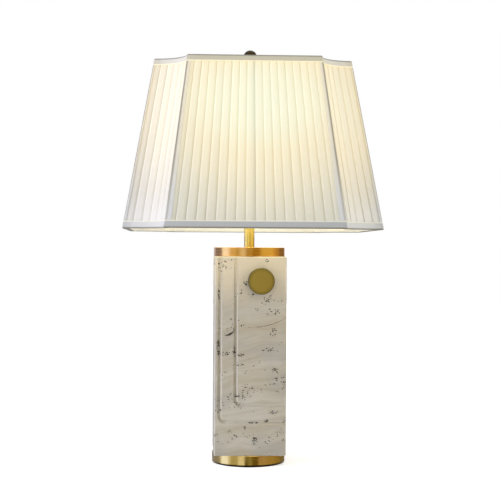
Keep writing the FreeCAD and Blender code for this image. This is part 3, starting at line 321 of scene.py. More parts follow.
def paintedGrooveLight(place, body, onFront, depth):
    # Painted light and shade: on the level runs the walls that face down are painted pale; on the upright runs the
    # wall that faces left is painted pale, and the floor and the wall that faces right are painted dark with streaks,
    # less so higher up
    x, y, z = parts(place)
    facing, unused, upward = normalOf(place)
    groove = times(onFront, ramp(depth, *grooves["depth"]))
    past = minus(x, ramp(z, *grooves["levelStart"]))
    level = product(grooves, levelFade=past, levelTop=z)
    under = times(groove, level, ramp(upward, *grooves["underside"]))
    body = mix(under, body, stone["wall"])
    groove = times(groove, minus(ramp(z, *grooves["fadeUp"]), level))
    body = mix(times(groove, ramp(facing, *grooves["leftFacing"])), body, stone["wall"])
    streak = noiseOf(scaled(place, *grooves["streakStretch"]), 1.0, roughness=0.7)
    return mix(times(groove, product(grooves, rightFacing=facing, streaks=streak)), body, stone["groove"])


def stoneMarks(place):
    # The crack is the lower part of a ring, and the fissure bends up to the right and breaks off in places
    x, y, z = parts(place)
    rough = times(minus(noiseOf(place, crack["roughScale"]), 0.5), crack["rough"])
    arc = vectorCalc("DISTANCE", vectorOf(x, 0.0, z), (crack["x"], 0.0, crack["z"]), output="Value")
    arcGap = calc("ABSOLUTE", plus(minus(arc, crack["radius"]), rough))
    along = ramp(x, *crack["run"], smooth=False)
    swell = times(calc("SINE", times(along, math.pi)), crack["width"])
    inArc = times(ramp(minus(arcGap, swell), -crack["edge"], crack["edge"], 1.0, 0.0),
                  calc("LESS_THAN", z, crack["z"]))
    past = greatest(minus(x, fissure["x"]), 0.0)
    seam = plus(times(calc("POWER", past, fissure["power"]), fissure["rise"]), fissure["z"])
    seamGap = calc("ABSOLUTE", plus(minus(z, seam), times(rough, fissure["waver"])))
    broken = noiseOf(place, fissure["breakScale"], detail=2.0)
    return greatest(inArc, product(fissure, edge=seamGap, breaks=broken, start=past))


def makeStone():
    material, surface, place = newMaterial("travertine", Roughness=stone["roughness"])
    x, y, z = parts(place)
    depth = minus(y, stone["front"])
    onFront = ramp(depth, *stone["frontDepth"])
    body, bedded = stoneBody(place)
    body = paintedGrooveLight(place, body, onFront, depth)
    # Painted highlight: the upper arris is painted pale, where the lamp's light catches it
    body = tintWhere(body, stone["arris"], minus(stone["top"], z), *stone["arrisDrop"])
    grain = noiseOf(place, stone["grainScale"], detail=4.0, roughness=0.7)
    body = tintWhere(body, stone["stain"], grain, *stone["grainStain"])
    holes = greatest(stonePits(place, bedded, onFront), times(stoneMarks(place), onFront))
    # Pits and cracks are painted near black, for the shade inside them
    final = mix(times(holes, stone["holeShade"]), body, stone["pit"])
    feed(surface.inputs["Base Color"], final)
    addBump(surface, minus(times(grain, stone["grainDepth"]), holes), stone["bump"], stone["bumpDepth"])
    return material


# Metals: tint, roughness and how brushed. The cap and the pole are tinted warmer and brighter than the base: partly
# their own brass, partly painted light from the lamp above
metals = {
    "cap": ((0.95, 0.55, 0.16), 0.22, 1.0),
    "base": ((0.80, 0.56, 0.20), 0.22, 1.0),
    "pole": ((1.0, 0.76, 0.21), 0.25, 0.2),
    "knob": ((0.575, 0.475, 0.145), 0.42, 1.0),
    "harp": ((0.80, 0.62, 0.33), 0.30, 0.5),
    "finial": ((0.060, 0.042, 0.018), 0.28, 1.0),
    "contact": ((0.85, 0.70, 0.38), 0.22, 0.5),
    "steel": ((0.62, 0.62, 0.61), 0.32, 0.5),
}
brushing = {"across": 10.0, "along": 1500.0, "lines": (0.3, 0.7), "smoother": 0.04, "rougher": 0.05,
            "patinaScale": 24.0, "patina": (0.42, 0.72, 0.0, 0.3), "patinaTint": 0.78,
            "patinaWear": (0.5, 0.75, 0.0, 0.04), "bump": 0.04, "bumpDepth": 0.2 * mm}
# Less light gets under the lower rim of a disc and round the knob: distances from the rim, then how dark
rimShade = {
    "base": (0.6 * mm, 1.8 * mm, 0.6, 0.0),
    "cap": (0.6 * mm, 1.8 * mm, 0.35, 0.0),
    "knob": (1 * mm, 6 * mm, 0.28, 0.0),
    "knobEdge": (0.4 * mm, 1.2 * mm, 0.7, 0.0),
}


def shadeRim(name, place, tone):
    if name == "knob":
        low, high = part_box("knob")
        x, y, z = parts(vectorCalc("SUBTRACT", place, (low + high) / 2))
        inward = minus((high.x - low.x) / 2, lengthOf(vectorOf(x, 0.0, z)))
        tone = tintWhere(tone, black, inward, *rimShade["knob"])
        return tintWhere(tone, black, inward, *rimShade["knobEdge"])
    rise = minus(parts(place)[2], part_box(f"{name}_disc")[0].z)
    return tintWhere(tone, black, rise, *rimShade[name])


def makeMetal(name):
    # Fine lines run round the axis, and a faint patina lies over them
    tint, roughness, brushed = metals[name]
    material, surface, place = newMaterial(f"{name}Metal", Metallic=1.0, Roughness=roughness)
    across, along = brushing["across"], brushing["along"]
    stretch = (along, across, across) if name == "knob" else (across, across, along)
    lines = noiseOf(scaled(place, *stretch), 1.0, detail=2.0)
    patina = noiseOf(place, brushing["patinaScale"], detail=4.0, roughness=0.6)
    tone = tintWhere(tint, dimmed(tint, brushing["patinaTint"]), patina, *brushing["patina"])
    if name in rimShade:
        tone = shadeRim(name, place, tone)
    feed(surface.inputs["Base Color"], tone)
    worn = ramp(lines, *brushing["lines"], roughness - brushing["smoother"] * brushed,
                roughness + brushing["rougher"] * brushed)
    feed(surface.inputs["Roughness"], plus(worn, ramp(patina, *brushing["patinaWear"])))
    addBump(surface, lines, brushing["bump"] * brushed, brushing["bumpDepth"])
    return material


# Moulded, fired and coated surfaces with a fine grain: colour and roughness
plainFinishes = {
    "blackPlastic": ((0.03, 0.03, 0.032), 0.5),
    "whitePlastic": ((0.78, 0.77, 0.74), 0.45),
    "leadSleeving": ((0.72, 0.69, 0.60), 0.5),
    "porcelain": ((0.82, 0.81, 0.77), 0.35),
    "coatedWire": ((0.82, 0.80, 0.75), 0.5),
    "foam": ((0.02, 0.02, 0.022), 0.9),
}
fineGrain = {"scale": 600.0, "limits": (0.35, 0.65), "speck": 0.1, "bump": 0.05, "bumpDepth": 0.3 * mm}
foamGrain = {**fineGrain, "scale": 900.0, "speck": 0.3, "bump": 0.4}


def makePlain(name):
    tint, roughness = plainFinishes[name]
    settings = foamGrain if name == "foam" else fineGrain
    material, surface, place = newMaterial(name, Roughness=roughness)
    grain = noiseOf(place, settings["scale"])
    tone = tintWhere(tint, dimmed(tint, 1 - settings["speck"]), grain, *settings["limits"])
    feed(surface.inputs["Base Color"], tone)
    addBump(surface, grain, settings["bump"], settings["bumpDepth"])
    return material


# Plan of the shade: a square with a scoop at each corner, in metres
shade = {"low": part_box("hem_bottom")[0].z, "high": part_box("hem_top")[1].z, "lowHalf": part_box("hem_bottom")[1].x,
         "highHalf": 145.5 * mm, "lowScoop": 61 * mm, "highScoop": 48.5 * mm, "lowHem": 11.5 * mm,
         "highHem": 9.8 * mm, "sharpTurn": 0.6}


# Cloth: white, lit by the bulb from within, which is painted on as a glow: outside, the share of the bulb's light
# that comes through, and inside, the light that falls on it
cloth = {
    "white": (0.89, 0.865, 0.745),
    # Painted light: the scoops are the same cloth as the faces, tinted a little darker for the light that falls on
    # them, and paler towards their foot
    "scoop": (0.855, 0.825, 0.765),
    "lowScoop": (0.905, 0.88, 0.825),
    "hem": (0.515, 0.525, 0.525),
    "topHem": (0.585, 0.565, 0.465),
    # Painted light: the hem is paler where it goes round the scoops
    "scoopHem": (0.70, 0.685, 0.64),
    "lowScoopHem": (0.725, 0.72, 0.70),
    # Painted shade: a dark line along the outside of each hem's rim
    "hemRimShade": (0.23, 0.21, 0.17),
    "tape": (0.75, 0.73, 0.66),
    # Painted light at the tape's foot, bluish white under the cool key lamp, and the painted shadow of the rib along
    # its fold
    "lowLitTape": (0.75, 0.76, 0.76),
    "tapeRibShadow": (0.42, 0.385, 0.31),
    # Painted shade in the folds of the pleats and along each face's rib
    "dip": (0.87, 0.86, 0.81),
    "lining": (0.60, 0.59, 0.55),
    "bulbCentre": (0.010, 0.0, 0.526),
    "outside": (0.165, 0.270, 1.0, 0.0),
    "outsideLight": (1.0, 0.72, 0.18),
    "inside": (0.165, 0.36, 1.0, 0.0),
    "insideLight": (1.0, 0.975, 0.755),
    "core": (0.150, 0.205, 1.0, 0.0),
    "coreSquash": 1.65,
    "coreLight": (0.0, 0.085, 0.115),
    "faceCore": 1.0,
    "scoopCore": 0.4,
    "faceGlow": 0.292,
    "scoopGlow": 0.265,
    "hemGlow": 0.10,
    "tapeGlow": 0.22,
    "liningGlow": 0.56,
    "underGlow": 0.6,
    "slubStretch": (60.0, 60.0, 4.0),
    "slubScale": 12.0,
    "slubs": (0.3, 0.7, 0.0, 0.5),
    "slubTint": 0.93,
    "thread": 0.45 * mm,
    "weaveBump": 0.05,
    "weaveDepth": 0.2 * mm,
    "sheen": 0.1,
    "roughness": 0.9,
}
# Across one pleat, from fold to fold: light through one layer and through more, and the shadows of both folds
pleatPattern = {"oneLayer": (0.03, 0.42, 1.06, 0.94, False), "moreLayers": (0.42, 0.58, 1.0, 0.86),
                "firstFold": (0.06, 0.16, 0.0, 0.5), "secondFold": (0.38, 0.54, 0.0, 0.5),
                "ownLight": (0.0, 1.0, 0.95, 1.03, False), "streakStretch": (5.0, 0.8, 1.0),
                "streaks": (0.3, 0.7, 0.93, 1.04), "slubs": (0.25, 0.75, 0.97, 1.02), "ribAt": 8.7,
                "rib": (0.06, 0.45, 0.42, 0.0), "lowScoop": (0.0, 0.25, 0.8, 0.0)}
# Across a hem, from its rim (0) to its free edge (1)
hemPattern = {"barLight": (0.12, 0.40, 0.1, 1.0), "edgeLight": (0.84, 0.92, 0.0, 2.0), "freeEdge": (0.80, 0.88),
              "rimLine": (0.10, 0.24, 0.85, 0.0), "rimTop": (0.85, 0.97, 1.0, 0.0),
              "intoScoop": (-1 * mm, 2 * mm)}
# Across a tape, from its edge on the flat side (-1) over the fold (0) to its edge in the scoop (1)
tapePattern = {"lineStart": (-0.50, -0.30), "lineEnd": (0.1, 0.35, 1.0, 0.0), "lineRise": (0.0, 0.4, 0.5, 1.0),
               "lowFade": (0.0, 0.55)}


def bandOf(place):
    return sourceOf(place, "Attribute", "Fac", attribute_name="band")


def glowAt(place, side, share):
    # Falls off with the distance from the bulb
    reach = vectorCalc("DISTANCE", place, cloth["bulbCentre"], output="Value")
    return times(ramp(reach, *cloth[side]), share)


def coreAt(place, share):
    # Paler light straight across from the bulb
    away = vectorCalc("SUBTRACT", place, cloth["bulbCentre"])
    reach = lengthOf(scaled(away, 1.0, 1.0, cloth["coreSquash"]))
    return scaleBy(cloth["coreLight"], times(ramp(reach, *cloth["core"]), share))


def weaveOf(place):
    x, y, z = parts(scaled(place, *[math.tau / cloth["thread"]] * 3))
    return times(calc("SINE", plus(x, y)), calc("SINE", z))


def pleatLight(slub, onFace):
    # Layers lie over each other beside every fold, and a rib of the frame stands behind each face. The shadow it
    # returns is painted shade in the folds and along the rib
    along, rise = parts(sourceOf(slub, "UVMap", 0, uv_map="pleatMap"))[:2]
    step = calc("FRACT", along)
    own = namedNode("TexWhiteNoise", {"W": calc("FLOOR", along)}, noise_dimensions="1D")
    streaks = noiseOf(scaled(vectorOf(along, rise, 0.0), *pleatPattern["streakStretch"]), 1.0)
    light = product(pleatPattern, oneLayer=step, moreLayers=step, ownLight=own.outputs[0], streaks=streaks,
                    slubs=slub)
    shadow = plus(*[ramp(step, *pleatPattern[fold]) for fold in ("firstFold", "secondFold")])
    if not onFace:
        return light, shadow
    gap = calc("ABSOLUTE", minus(along, pleatPattern["ribAt"]))
    rib = ramp(gap, *pleatPattern["rib"])
    return times(light, minus(1.0, rib)), plus(shadow, rib)


def hemLight(place):
    # The bar stands dark at the rim, and the free edge is a single layer
    band = bandOf(place)
    return plus(ramp(band, *hemPattern["barLight"]), ramp(band, *hemPattern["edgeLight"]))


def hemTint(place, tint, rise):
    # Painted shade as a darker line at the rim but not on top of it, and painted light as paler cloth where the band
    # goes round a scoop
    x, y = parts(place)[:2]
    inner = calc("MINIMUM", calc("ABSOLUTE", x), calc("ABSOLUTE", y))
    end = ramp(rise, 0.0, 1.0, shade["lowHalf"] - shade["lowScoop"],
               shade["highHalf"] - shade["highScoop"], smooth=False)
    scoopHemLight = mix(rise, cloth["lowScoopHem"], cloth["scoopHem"])
    tone = tintWhere(tint, scoopHemLight, minus(inner, end), *hemPattern["intoScoop"])
    tone = tintWhere(tone, cloth["white"], bandOf(place), *hemPattern["freeEdge"])
    line = product(hemPattern, rimLine=bandOf(place), rimTop=normalOf(place)[2])
    return mix(line, tone, cloth["hemRimShade"])


def ribShadowLine(rise):
    # Painted shadow of the upright rib behind the fold of the tape, most where the bulb's light is strong
    band = bandOf(rise)
    return product(tapePattern, lineStart=band, lineEnd=band, lineRise=rise)


def makeCloth(name, tintName, glowName, pattern):
    material, surface, place = newMaterial(name, Roughness=cloth["roughness"], Sheen_Weight=cloth["sheen"],
                                           Emission_Strength=1.0)
    tint = cloth[tintName]
    slub = noiseOf(scaled(place, *cloth["slubStretch"]), cloth["slubScale"])
    body = tintWhere(tint, dimmed(tint, cloth["slubTint"]), slub, *cloth["slubs"])
    rise = ramp(parts(place)[2], shade["low"], shade["high"], smooth=False)
    side = "inside" if pattern == "inside" else "outside"
    light = glowAt(place, side, cloth[glowName])
    if pattern in ("face", "scoop"):
        layers, shadow = pleatLight(slub, pattern == "face")
        light = times(light, layers)
        # Painted shade in the folds and along the rib
        body = mix(shadow, body, cloth["dip"], "MULTIPLY")
    # Painted light: paler towards the foot of each scoop
    if pattern == "scoop":
        body = tintWhere(body, cloth["lowScoop"], rise, *pleatPattern["lowScoop"])
    if pattern == "hem":
        light = times(light, hemLight(place))
        body = hemTint(place, body, rise)
    # Painted shadow of the rib along the fold, and painted light at the tape's foot
    if pattern == "tape":
        line = ribShadowLine(rise)
        light = times(light, minus(1.0, line))
        body = tintWhere(cloth["lowLitTape"], body, rise, *tapePattern["lowFade"])
        body = mix(line, body, cloth["tapeRibShadow"])
    shine = scaleBy(cloth[f"{side}Light"], light)
    if pattern in ("face", "scoop"):
        shine = vectorCalc("ADD", shine, coreAt(place, cloth[f"{pattern}Core"]))
    feed(surface.inputs["Base Color"], body)
    feed(surface.inputs["Emission Color"], shine)
    addBump(surface, weaveOf(place), cloth["weaveBump"], cloth["weaveDepth"])
    return material


# Opal bulb glass, lit, and less so at its neck
bulbFinish = {"glass": (0.9, 0.88, 0.82), "light": (1.0, 0.86, 0.58), "level": 3.0, "roughness": 0.3,
              "neck": (0.436, 0.47, 0.35, 1.0), "hazeScale": 30.0, "haze": (0.3, 0.7, 0.0, 0.1)}


def makeBulbGlass():
    material, surface, place = newMaterial("opalGlass", Roughness=bulbFinish["roughness"],
                                           Emission_Strength=bulbFinish["level"])
    haze = noiseOf(place, bulbFinish["hazeScale"], detail=2.0)
    tone = tintWhere(bulbFinish["glass"], bulbFinish["light"], haze, *bulbFinish["haze"])
    feed(surface.inputs["Base Color"], tone)
    neck = ramp(parts(place)[2], *bulbFinish["neck"])
    feed(surface.inputs["Emission Color"], scaleBy(bulbFinish["light"], neck))
    return material


# The material's name, tint, glow and pattern
clothKinds = {
    "facePleats": ("pleatedCloth", "white", "faceGlow", "face"),
    "scoopPleats": ("scoopCloth", "scoop", "scoopGlow", "scoop"),
    "lowerHem": ("lowerHemCloth", "hem", "hemGlow", "hem"),
    "upperHem": ("upperHemCloth", "topHem", "hemGlow", "hem"),
    "hemInside": ("hemInside", "lining", "underGlow", "inside"),
    "tape": ("tapeCloth", "tape", "tapeGlow", "tape"),
    "lining": ("liningCloth", "lining", "liningGlow", "inside"),
}
finishes = {"travertine": makeStone(), "opalGlass": makeBulbGlass()}
finishes.update((name, makeCloth(*kind)) for name, kind in clothKinds.items())
finishes.update((name, makeMetal(name)) for name in metals)
finishes.update((name, makePlain(name)) for name in plainFinishes)
print("materials made:", len(finishes))


# The solids that keep their own shape, by finish
dressed = {
    "travertine": ["stone_column"],
    "cap": ["cap_disc"],
    "base": ["base_disc", "dimmer_plate"],
    "pole": ["pole_sleeve"],
    "knob": ["knob"],
    "finial": ["finial"],
    "harp": ["harp_saddle", "harp_bow", "ferrule_left", "ferrule_right", "swivel_stud", "shade_spider",
             "holder_cap", "holder_shell"],
    "steel": ["threaded_pipe", "pipe_washer", "pipe_nut", "dimmer_nut", "plate_screws", "dimmer_shaft",
              "knob_grub_screw", "bulb_base", "bulb_contact"],
    "contact": ["thread_sleeve", "centre_contact"],
    "blackPlastic": ["dimmer_housing", "inlet_grommet"],
    "whitePlastic": ["terminal_block"],
    "porcelain": ["holder_insert"],
    "leadSleeving": ["lead_supply", "lead_lamp"],
    "coatedWire": ["frame_bar_bottom", "frame_bar_top", "frame_ribs"],
    "opalGlass": ["bulb_glass"],
}
for finish, nodeNames in dressed.items():
    for nodeName in nodeNames:
        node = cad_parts[nodeName]
        if not node.material_slots:
            node.data.materials.append(finishes[finish])
        for slot in node.material_slots:
            slot.material = finishes[finish]
print("solids dressed:", sum(len(nodeNames) for nodeNames in dressed.values()))


def between(start, end, share):
    return start + (end - start) * share


def riseOf(height):
    return (height - shade["low"]) / (shade["high"] - shade["low"])


def halfWidth(height):
    return between(shade["lowHalf"], shade["highHalf"], riseOf(height))


def scoopRadius(height):
    return between(shade["lowScoop"], shade["highScoop"], riseOf(height))


def sideEnd(height, inset):
    reach = scoopRadius(height) + inset
    return halfWidth(height) - math.sqrt(reach ** 2 - inset ** 2)


def turned(point, quarter):
    x, y, z = point
    for step in range(quarter % 4):
        x, y = -y, x
    return Vector((x, y, z))


def sidePoint(height, inset, share):
    # Front side, from its left end (0) to its right end (1)
    end = sideEnd(height, inset)
    return Vector((between(-end, end, share), inset - halfWidth(height), height))


def onScoop(height, inset, angle):
    half, reach = halfWidth(height), scoopRadius(height) + inset
    return Vector((half - reach * math.cos(angle), -half + reach * math.sin(angle), height))


def scoopPoint(height, inset, share):
    # Scoop at +X -Y, from the front side's end (0) to the right side's end (1)
    skew = math.asin(inset / (scoopRadius(height) + inset))
    return onScoop(height, inset, between(skew, math.pi / 2 - skew, share))


def roundedCorners(points, radius):
    # Three points stand for each sharp corner, so that the cloth turns softly
    result = []
    for index, point in enumerate(points):
        arriving = (point - points[index - 1]).normalized()
        leaving = (points[(index + 1) % len(points)] - point).normalized()
        if arriving.dot(leaving) > shade["sharpTurn"]:
            result.append(point)
            continue
        first, last = point - arriving * radius, point + leaving * radius
        result.extend([first, (first + last) / 4 + point / 2, last])
    return result


def planLoop(height, inset, sideSteps, scoopSteps, rounding=0.0):
    # Closed outline, anticlockwise from the front side's left end
    points = []
    for quarter in range(4):
        for pointAt, steps in ((sidePoint, sideSteps), (scoopPoint, scoopSteps)):
            points.extend(turned(pointAt(height, inset, step / steps), quarter) for step in range(steps))
    return roundedCorners(points, rounding) if rounding else points


def newObject(name, mesh, materials, body, smoothTo):
    mesh.materials.clear()
    for material in materials:
        mesh.materials.append(material)
    mesh.shade_smooth()
    mesh.set_sharp_from_angle(angle=math.radians(smoothTo))
    made = placed(name, mesh)
    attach(made, body)
    return made


def setBand(mesh, values):
    # Where each corner lies across a strip of cloth, for its material
    band = mesh.attributes.new("band", "FLOAT", "POINT")
    band.data.foreach_set("value", values)


def loft(name, rings, capped):
    # Quads between rings of points, with a cap at each end or else from the last ring to the first
    shape = bmesh.new()
    corners = [[shape.verts.new(point) for point in ring] for ring in rings]
    for lower, upper in zip(corners, corners[1:] if capped else corners[1:] + corners[:1]):
        for index in range(len(lower)):
            following = (index + 1) % len(lower)
            shape.faces.new((lower[index], lower[following], upper[following], upper[index]))
    if capped:
        shape.faces.new(reversed(corners[0]))
        shape.faces.new(corners[-1])
    bmesh.ops.recalc_face_normals(shape, faces=shape.faces)
    mesh = bpy.data.meshes.new(name)
    shape.to_mesh(mesh)
    shape.free()
    return mesh


# Pleated panels, grown by geometry nodes between a lower and an upper rail
pleats = {"face": 18, "scoop": 7, "steps": 14, "rows": 26, "inset": 1.1 * mm, "sideGap": 0.3 * mm,
          "scoopSteps": 24, "relief": 2.3 * mm, "reachScale": 1.5, "unevenness": 0.16, "wanderPace": (0.9, 1.1),
          "foldGuard": 0.0005, "clothThickness": 0.3 * mm, "seed": 11, "seedStep": 3.7, "scoopSeed": 1.3}
# One knife pleat as the cloth runs: how far along it lies, and how deep
pleatAlong = [(0.0, 0.0), (0.06, 0.05), (0.2, 0.28), (0.42, 0.7), (0.58, 1.0), (0.7, 1.28), (0.76, 1.3),
              (0.86, 1.15), (1.0, 1.0)]
pleatDepth = [(0.0, 0.30), (0.03, 0.10), (0.10, 0.0), (0.36, 0.02), (0.47, 0.12), (0.56, 0.50), (0.64, 0.88),
              (0.74, 1.0), (0.78, 0.92), (0.9, 0.62), (1.0, 0.30)]
panelInputs = {"Lower rail": "Object", "Upper rail": "Object", "Pleats": "Int", "Steps a pleat": "Int",
               "Rows": "Int", "Relief": "Float", "Relief at the top": "Float", "Unevenness": "Float",
               "Seed": "Float", "Cloth": "Material"}


def curveOf(value, points, scale):
    node = namedNode("FloatCurve", {"Value": value})
    curve = node.mapping.curves[0]
    while len(curve.points) < len(points):
        curve.points.new(0.5, 0.5)
    for spot, (x, y) in zip(curve.points, points):
        spot.location = (x, y / scale)
        spot.handle_type = "VECTOR"
    node.mapping.update()
    return times(node.outputs[0], scale)


def onRail(rail, share):
    # Where that share of the rail lies, and which way is outward there
    source = namedNode("GeometryNodeObjectInfo", {"Object": rail})
    sample = namedNode("GeometryNodeSampleCurve",
                       {"Curves": source.outputs["Geometry"], "Factor": share}, mode="FACTOR", use_all_curves=True)
    return sample.outputs["Position"], vectorCalc("CROSS_PRODUCT", sample.outputs["Tangent"], (0.0, 0.0, 1.0))


def buildPleatTree():
    tree = bpy.data.node_groups.new("pleatedPanel", "GeometryNodeTree")
    names = {}
    for name, kind in panelInputs.items():
        socket = tree.interface.new_socket(name=name, in_out="INPUT", socket_type=f"NodeSocket{kind}")
        names[name] = socket.identifier
    tree.interface.new_socket(name="Geometry", in_out="OUTPUT", socket_type="NodeSocketGeometry")
    given = addNode(tree, "NodeGroupInput").outputs
    grid = namedNode("GeometryNodeMeshGrid", {
        "Size X": 1, "Size Y": 1, "Vertices X": plus(times(given["Pleats"], given["Steps a pleat"]), 1.0),
        "Vertices Y": plus(given["Rows"], 1.0)})
    x, y = parts(addNode(tree, "GeometryNodeInputPosition").outputs[0])[:2]
    rise = plus(y, 0.5)
    count = times(plus(x, 0.5), given["Pleats"])
    number = calc("FLOOR", plus(count, pleats["foldGuard"]))
    step = greatest(minus(count, number), 0.0)
    along = curveOf(step, pleatAlong, pleats["reachScale"])
    depth = curveOf(step, pleatDepth, 1.0)
    wander = noiseOf(vectorOf(*map(times, (count, rise), pleats["wanderPace"]), given["Seed"]), 1.0, detail=1.0)
    wander = times(minus(wander, 0.5), given["Unevenness"])
    spot = calc("DIVIDE", plus(number, along, wander), given["Pleats"])
    held = fedNode("Clamp", spot).outputs[0]
    low, high = onRail(given["Lower rail"], held), onRail(given["Upper rail"], held)
    place, outward = [mixOf("VECTOR", rise, *pair) for pair in zip(low, high)]
    relief = plus(given["Relief"], times(rise, minus(given["Relief at the top"], given["Relief"])))
    shift = scaleBy(vectorCalc("NORMALIZE", outward), times(depth, relief, -1.0))
    store = namedNode("GeometryNodeStoreNamedAttribute", {
        "Geometry": grid.outputs["Mesh"], "Name": "pleatMap", "Value": vectorOf(count, rise, 0.0)},
                      data_type="FLOAT2", domain="CORNER")
    move = namedNode("GeometryNodeSetPosition", {
        "Geometry": store.outputs[0], "Position": vectorCalc("ADD", place, shift)})
    realize = fedNode("GeometryNodeRealizeInstances", move.outputs[0])
    paint = namedNode("GeometryNodeSetMaterial", {"Geometry": realize.outputs[0], "Material": given["Cloth"]})
    feed(addNode(tree, "NodeGroupOutput").inputs[0], paint.outputs[0])
    return tree, names


def railCurve(name, points):
    data = bpy.data.curves.new(name, "CURVE")
    data.dimensions = "3D"
    line = data.splines.new("POLY")
    line.points.add(len(points) - 1)
    for spot, point in zip(line.points, points):
        spot.co = (*point, 1.0)
    return placed(name, data)


def bakeModifiers(carrier, name):
    # The evaluated shape as a plain mesh of its own
    bpy.context.view_layer.update()
    evaluated = carrier.evaluated_get(bpy.context.evaluated_depsgraph_get())
    mesh = bpy.data.meshes.new_from_object(evaluated)
    mesh.name = name
    bpy.data.objects.remove(carrier)
    return mesh


def panelRail(height, quarter, kind):
    inset, steps = pleats["inset"], pleats["scoopSteps"]
    if kind == "scoop":
        return [turned(scoopPoint(height, inset, step / steps), quarter) for step in range(steps + 1)]
    end = sideEnd(height, inset) - pleats["sideGap"]
    return [turned((side * end, inset - halfWidth(height), height), quarter) for side in (-1, 1)]


def makePanel(tree, names, name, nodeName, quarter, kind, seed):
    heights = (shade["low"] + pleats["inset"], shade["high"] - pleats["inset"])
    rails = [railCurve(f"{name}Rail{level}", panelRail(height, quarter, kind))
             for level, height in enumerate(heights)]
    carrier = placed(name, bpy.data.meshes.new(name))
    modifier = carrier.modifiers.new("pleats", "NODES")
    modifier.node_group = tree
    cover = finishes[f"{kind}Pleats"]
    narrowing = halfWidth(heights[1]) / halfWidth(heights[0])
    values = (*rails, pleats[kind], pleats["steps"], pleats["rows"], pleats["relief"],
              pleats["relief"] * narrowing, pleats["unevenness"], seed, cover)
    for label, value in zip(panelInputs, values):
        modifier[names[label]] = value
    thicken = carrier.modifiers.new("thickness", "SOLIDIFY")
    thicken.thickness = pleats["clothThickness"]
    thicken.offset = -1
    mesh = bakeModifiers(carrier, name)
    for rail in rails:
        bpy.data.objects.remove(rail)
    panel = newObject(name, mesh, [cover], "shade", 50)
    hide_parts(nodeName)


def makePleats():
    tree, names = buildPleatTree()
    sides = ("front", "right", "back", "left")
    corners = ("front_right", "back_right", "back_left", "front_left")
    for quarter, (side, corner) in enumerate(zip(sides, corners)):
        seed = pleats["seed"] + quarter * pleats["seedStep"]
        makePanel(tree, names, f"pleatedFace{quarter + 1}", f"pleats_{side}", quarter, "face", seed)
        makePanel(tree, names, f"pleatedScoop{quarter + 1}", f"pleats_{corner}", quarter, "scoop",
                  seed + pleats["scoopSeed"])


makePleats()
print("pleats made")


# Hems: a band of cloth folded over the frame's bar
hem = {"thickness": 0.8 * mm, "innerInset": 7.7 * mm, "rounding": 1.2 * mm,
       "sideSteps": 16, "scoopSteps": 8, "pucker": 0.16 * mm, "seedPace": 900}
# Its section: an inset as shares of the inner inset and the thickness, a height as shares of the hem's height and
# the thickness
hemSection = [
    (0, 0.15, 1, 0), (0, 0, 0.7, 0), (0, -0.1, 0.35, 0), (0, 0.2, 0, 1.1), (0, 1.1, 0, 0.15), (0.5, 0, 0, 0),
    (1, -0.2, 0, 0.1), (1, 0.8, 0, 1.1), (1, 1, 0.5, 0), (1, 0.9, 1, 0), (1, 0, 1, 0), (1, 0, 0, 1.6),
    (1, -1, 0, 1), (0, 2, 0, 1), (0, 1, 0, 1.9), (0, 0.9, 1, 0),
]
# Small waves: their pace along the band, how their seed counts, and their share
puckerWaves = [(1.9, 1, 0.6), (0.83, 2, 0.4)]


def puckered(points, amount, seed):
    result = []
    for index, point in enumerate(points):
        wave = sum(math.sin(index * pace + seed * weight) * share for pace, weight, share in puckerWaves)
        result.append(point + Vector((point.x, point.y, 0)).normalized() * (wave * amount))
    return result


def makeHem(name, nodeName, rim, inward, height):
    # inward: 1 for the lower hem, -1 for the upper one, whose rim is its top
    thick, inner = hem["thickness"], hem["innerInset"]
    section = [(inner * a + thick * b, height * c + thick * d) for a, b, c, d in hemSection]
    loops = []
    for inset, up in section:
        loop = planLoop(rim + inward * up, inset, hem["sideSteps"], hem["scoopSteps"], hem["rounding"])
        outside = inset < thick / 2 and up > thick * 2
        loops.append(puckered(loop, hem["pucker"] if outside else 0, up * hem["seedPace"] + inward))
    if inward > 0:
        loops.reverse()
        section.reverse()
    mesh = loft(name, loops, capped=False)
    count = len(loops[0])
    setBand(mesh, [up / height for inset, up in section for corner in loops[0]])
    piece = newObject(name, mesh, [finishes[name], finishes["hemInside"]], "shade", 50)
    for face in mesh.polygons:
        row = face.index // count
        face.material_index = int(min(section[row][0], section[(row + 1) % len(section)][0]) >= inner)
    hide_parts(nodeName)


makeHem("lowerHem", "hem_bottom", shade["low"], 1, shade["lowHem"])
makeHem("upperHem", "hem_top", shade["high"], -1, shade["highHem"])
print("hems made")


# Lining: one smooth sheet behind the frame
lining = {"inset": 7.1 * mm, "sideSteps": 18, "scoopSteps": 12, "rows": 14, "sag": 0.15 * mm,
          "seedPace": 0.4, "topGap": 5.1 * mm, "thickness": 0.3 * mm}


def makeLining():
    low = shade["low"] + pleats["inset"]
    high = shade["high"] - lining["topGap"]
    sides = []
    for inset in (lining["inset"], lining["inset"] + lining["thickness"]):
        rows = []
        for row in range(lining["rows"] + 1):
            share = row / lining["rows"]
            loop = planLoop(between(low, high, share), inset, lining["sideSteps"], lining["scoopSteps"])
            rows.append(puckered(loop, lining["sag"] * math.sin(math.pi * share), row * lining["seedPace"]))
        sides.append(rows)
    mesh = loft("lining", sides[0] + sides[1][::-1], capped=False)
    piece = newObject("lining", mesh, [finishes["lining"]], "shade", 40)
    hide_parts("shade_lining")


makeLining()
print("lining made")


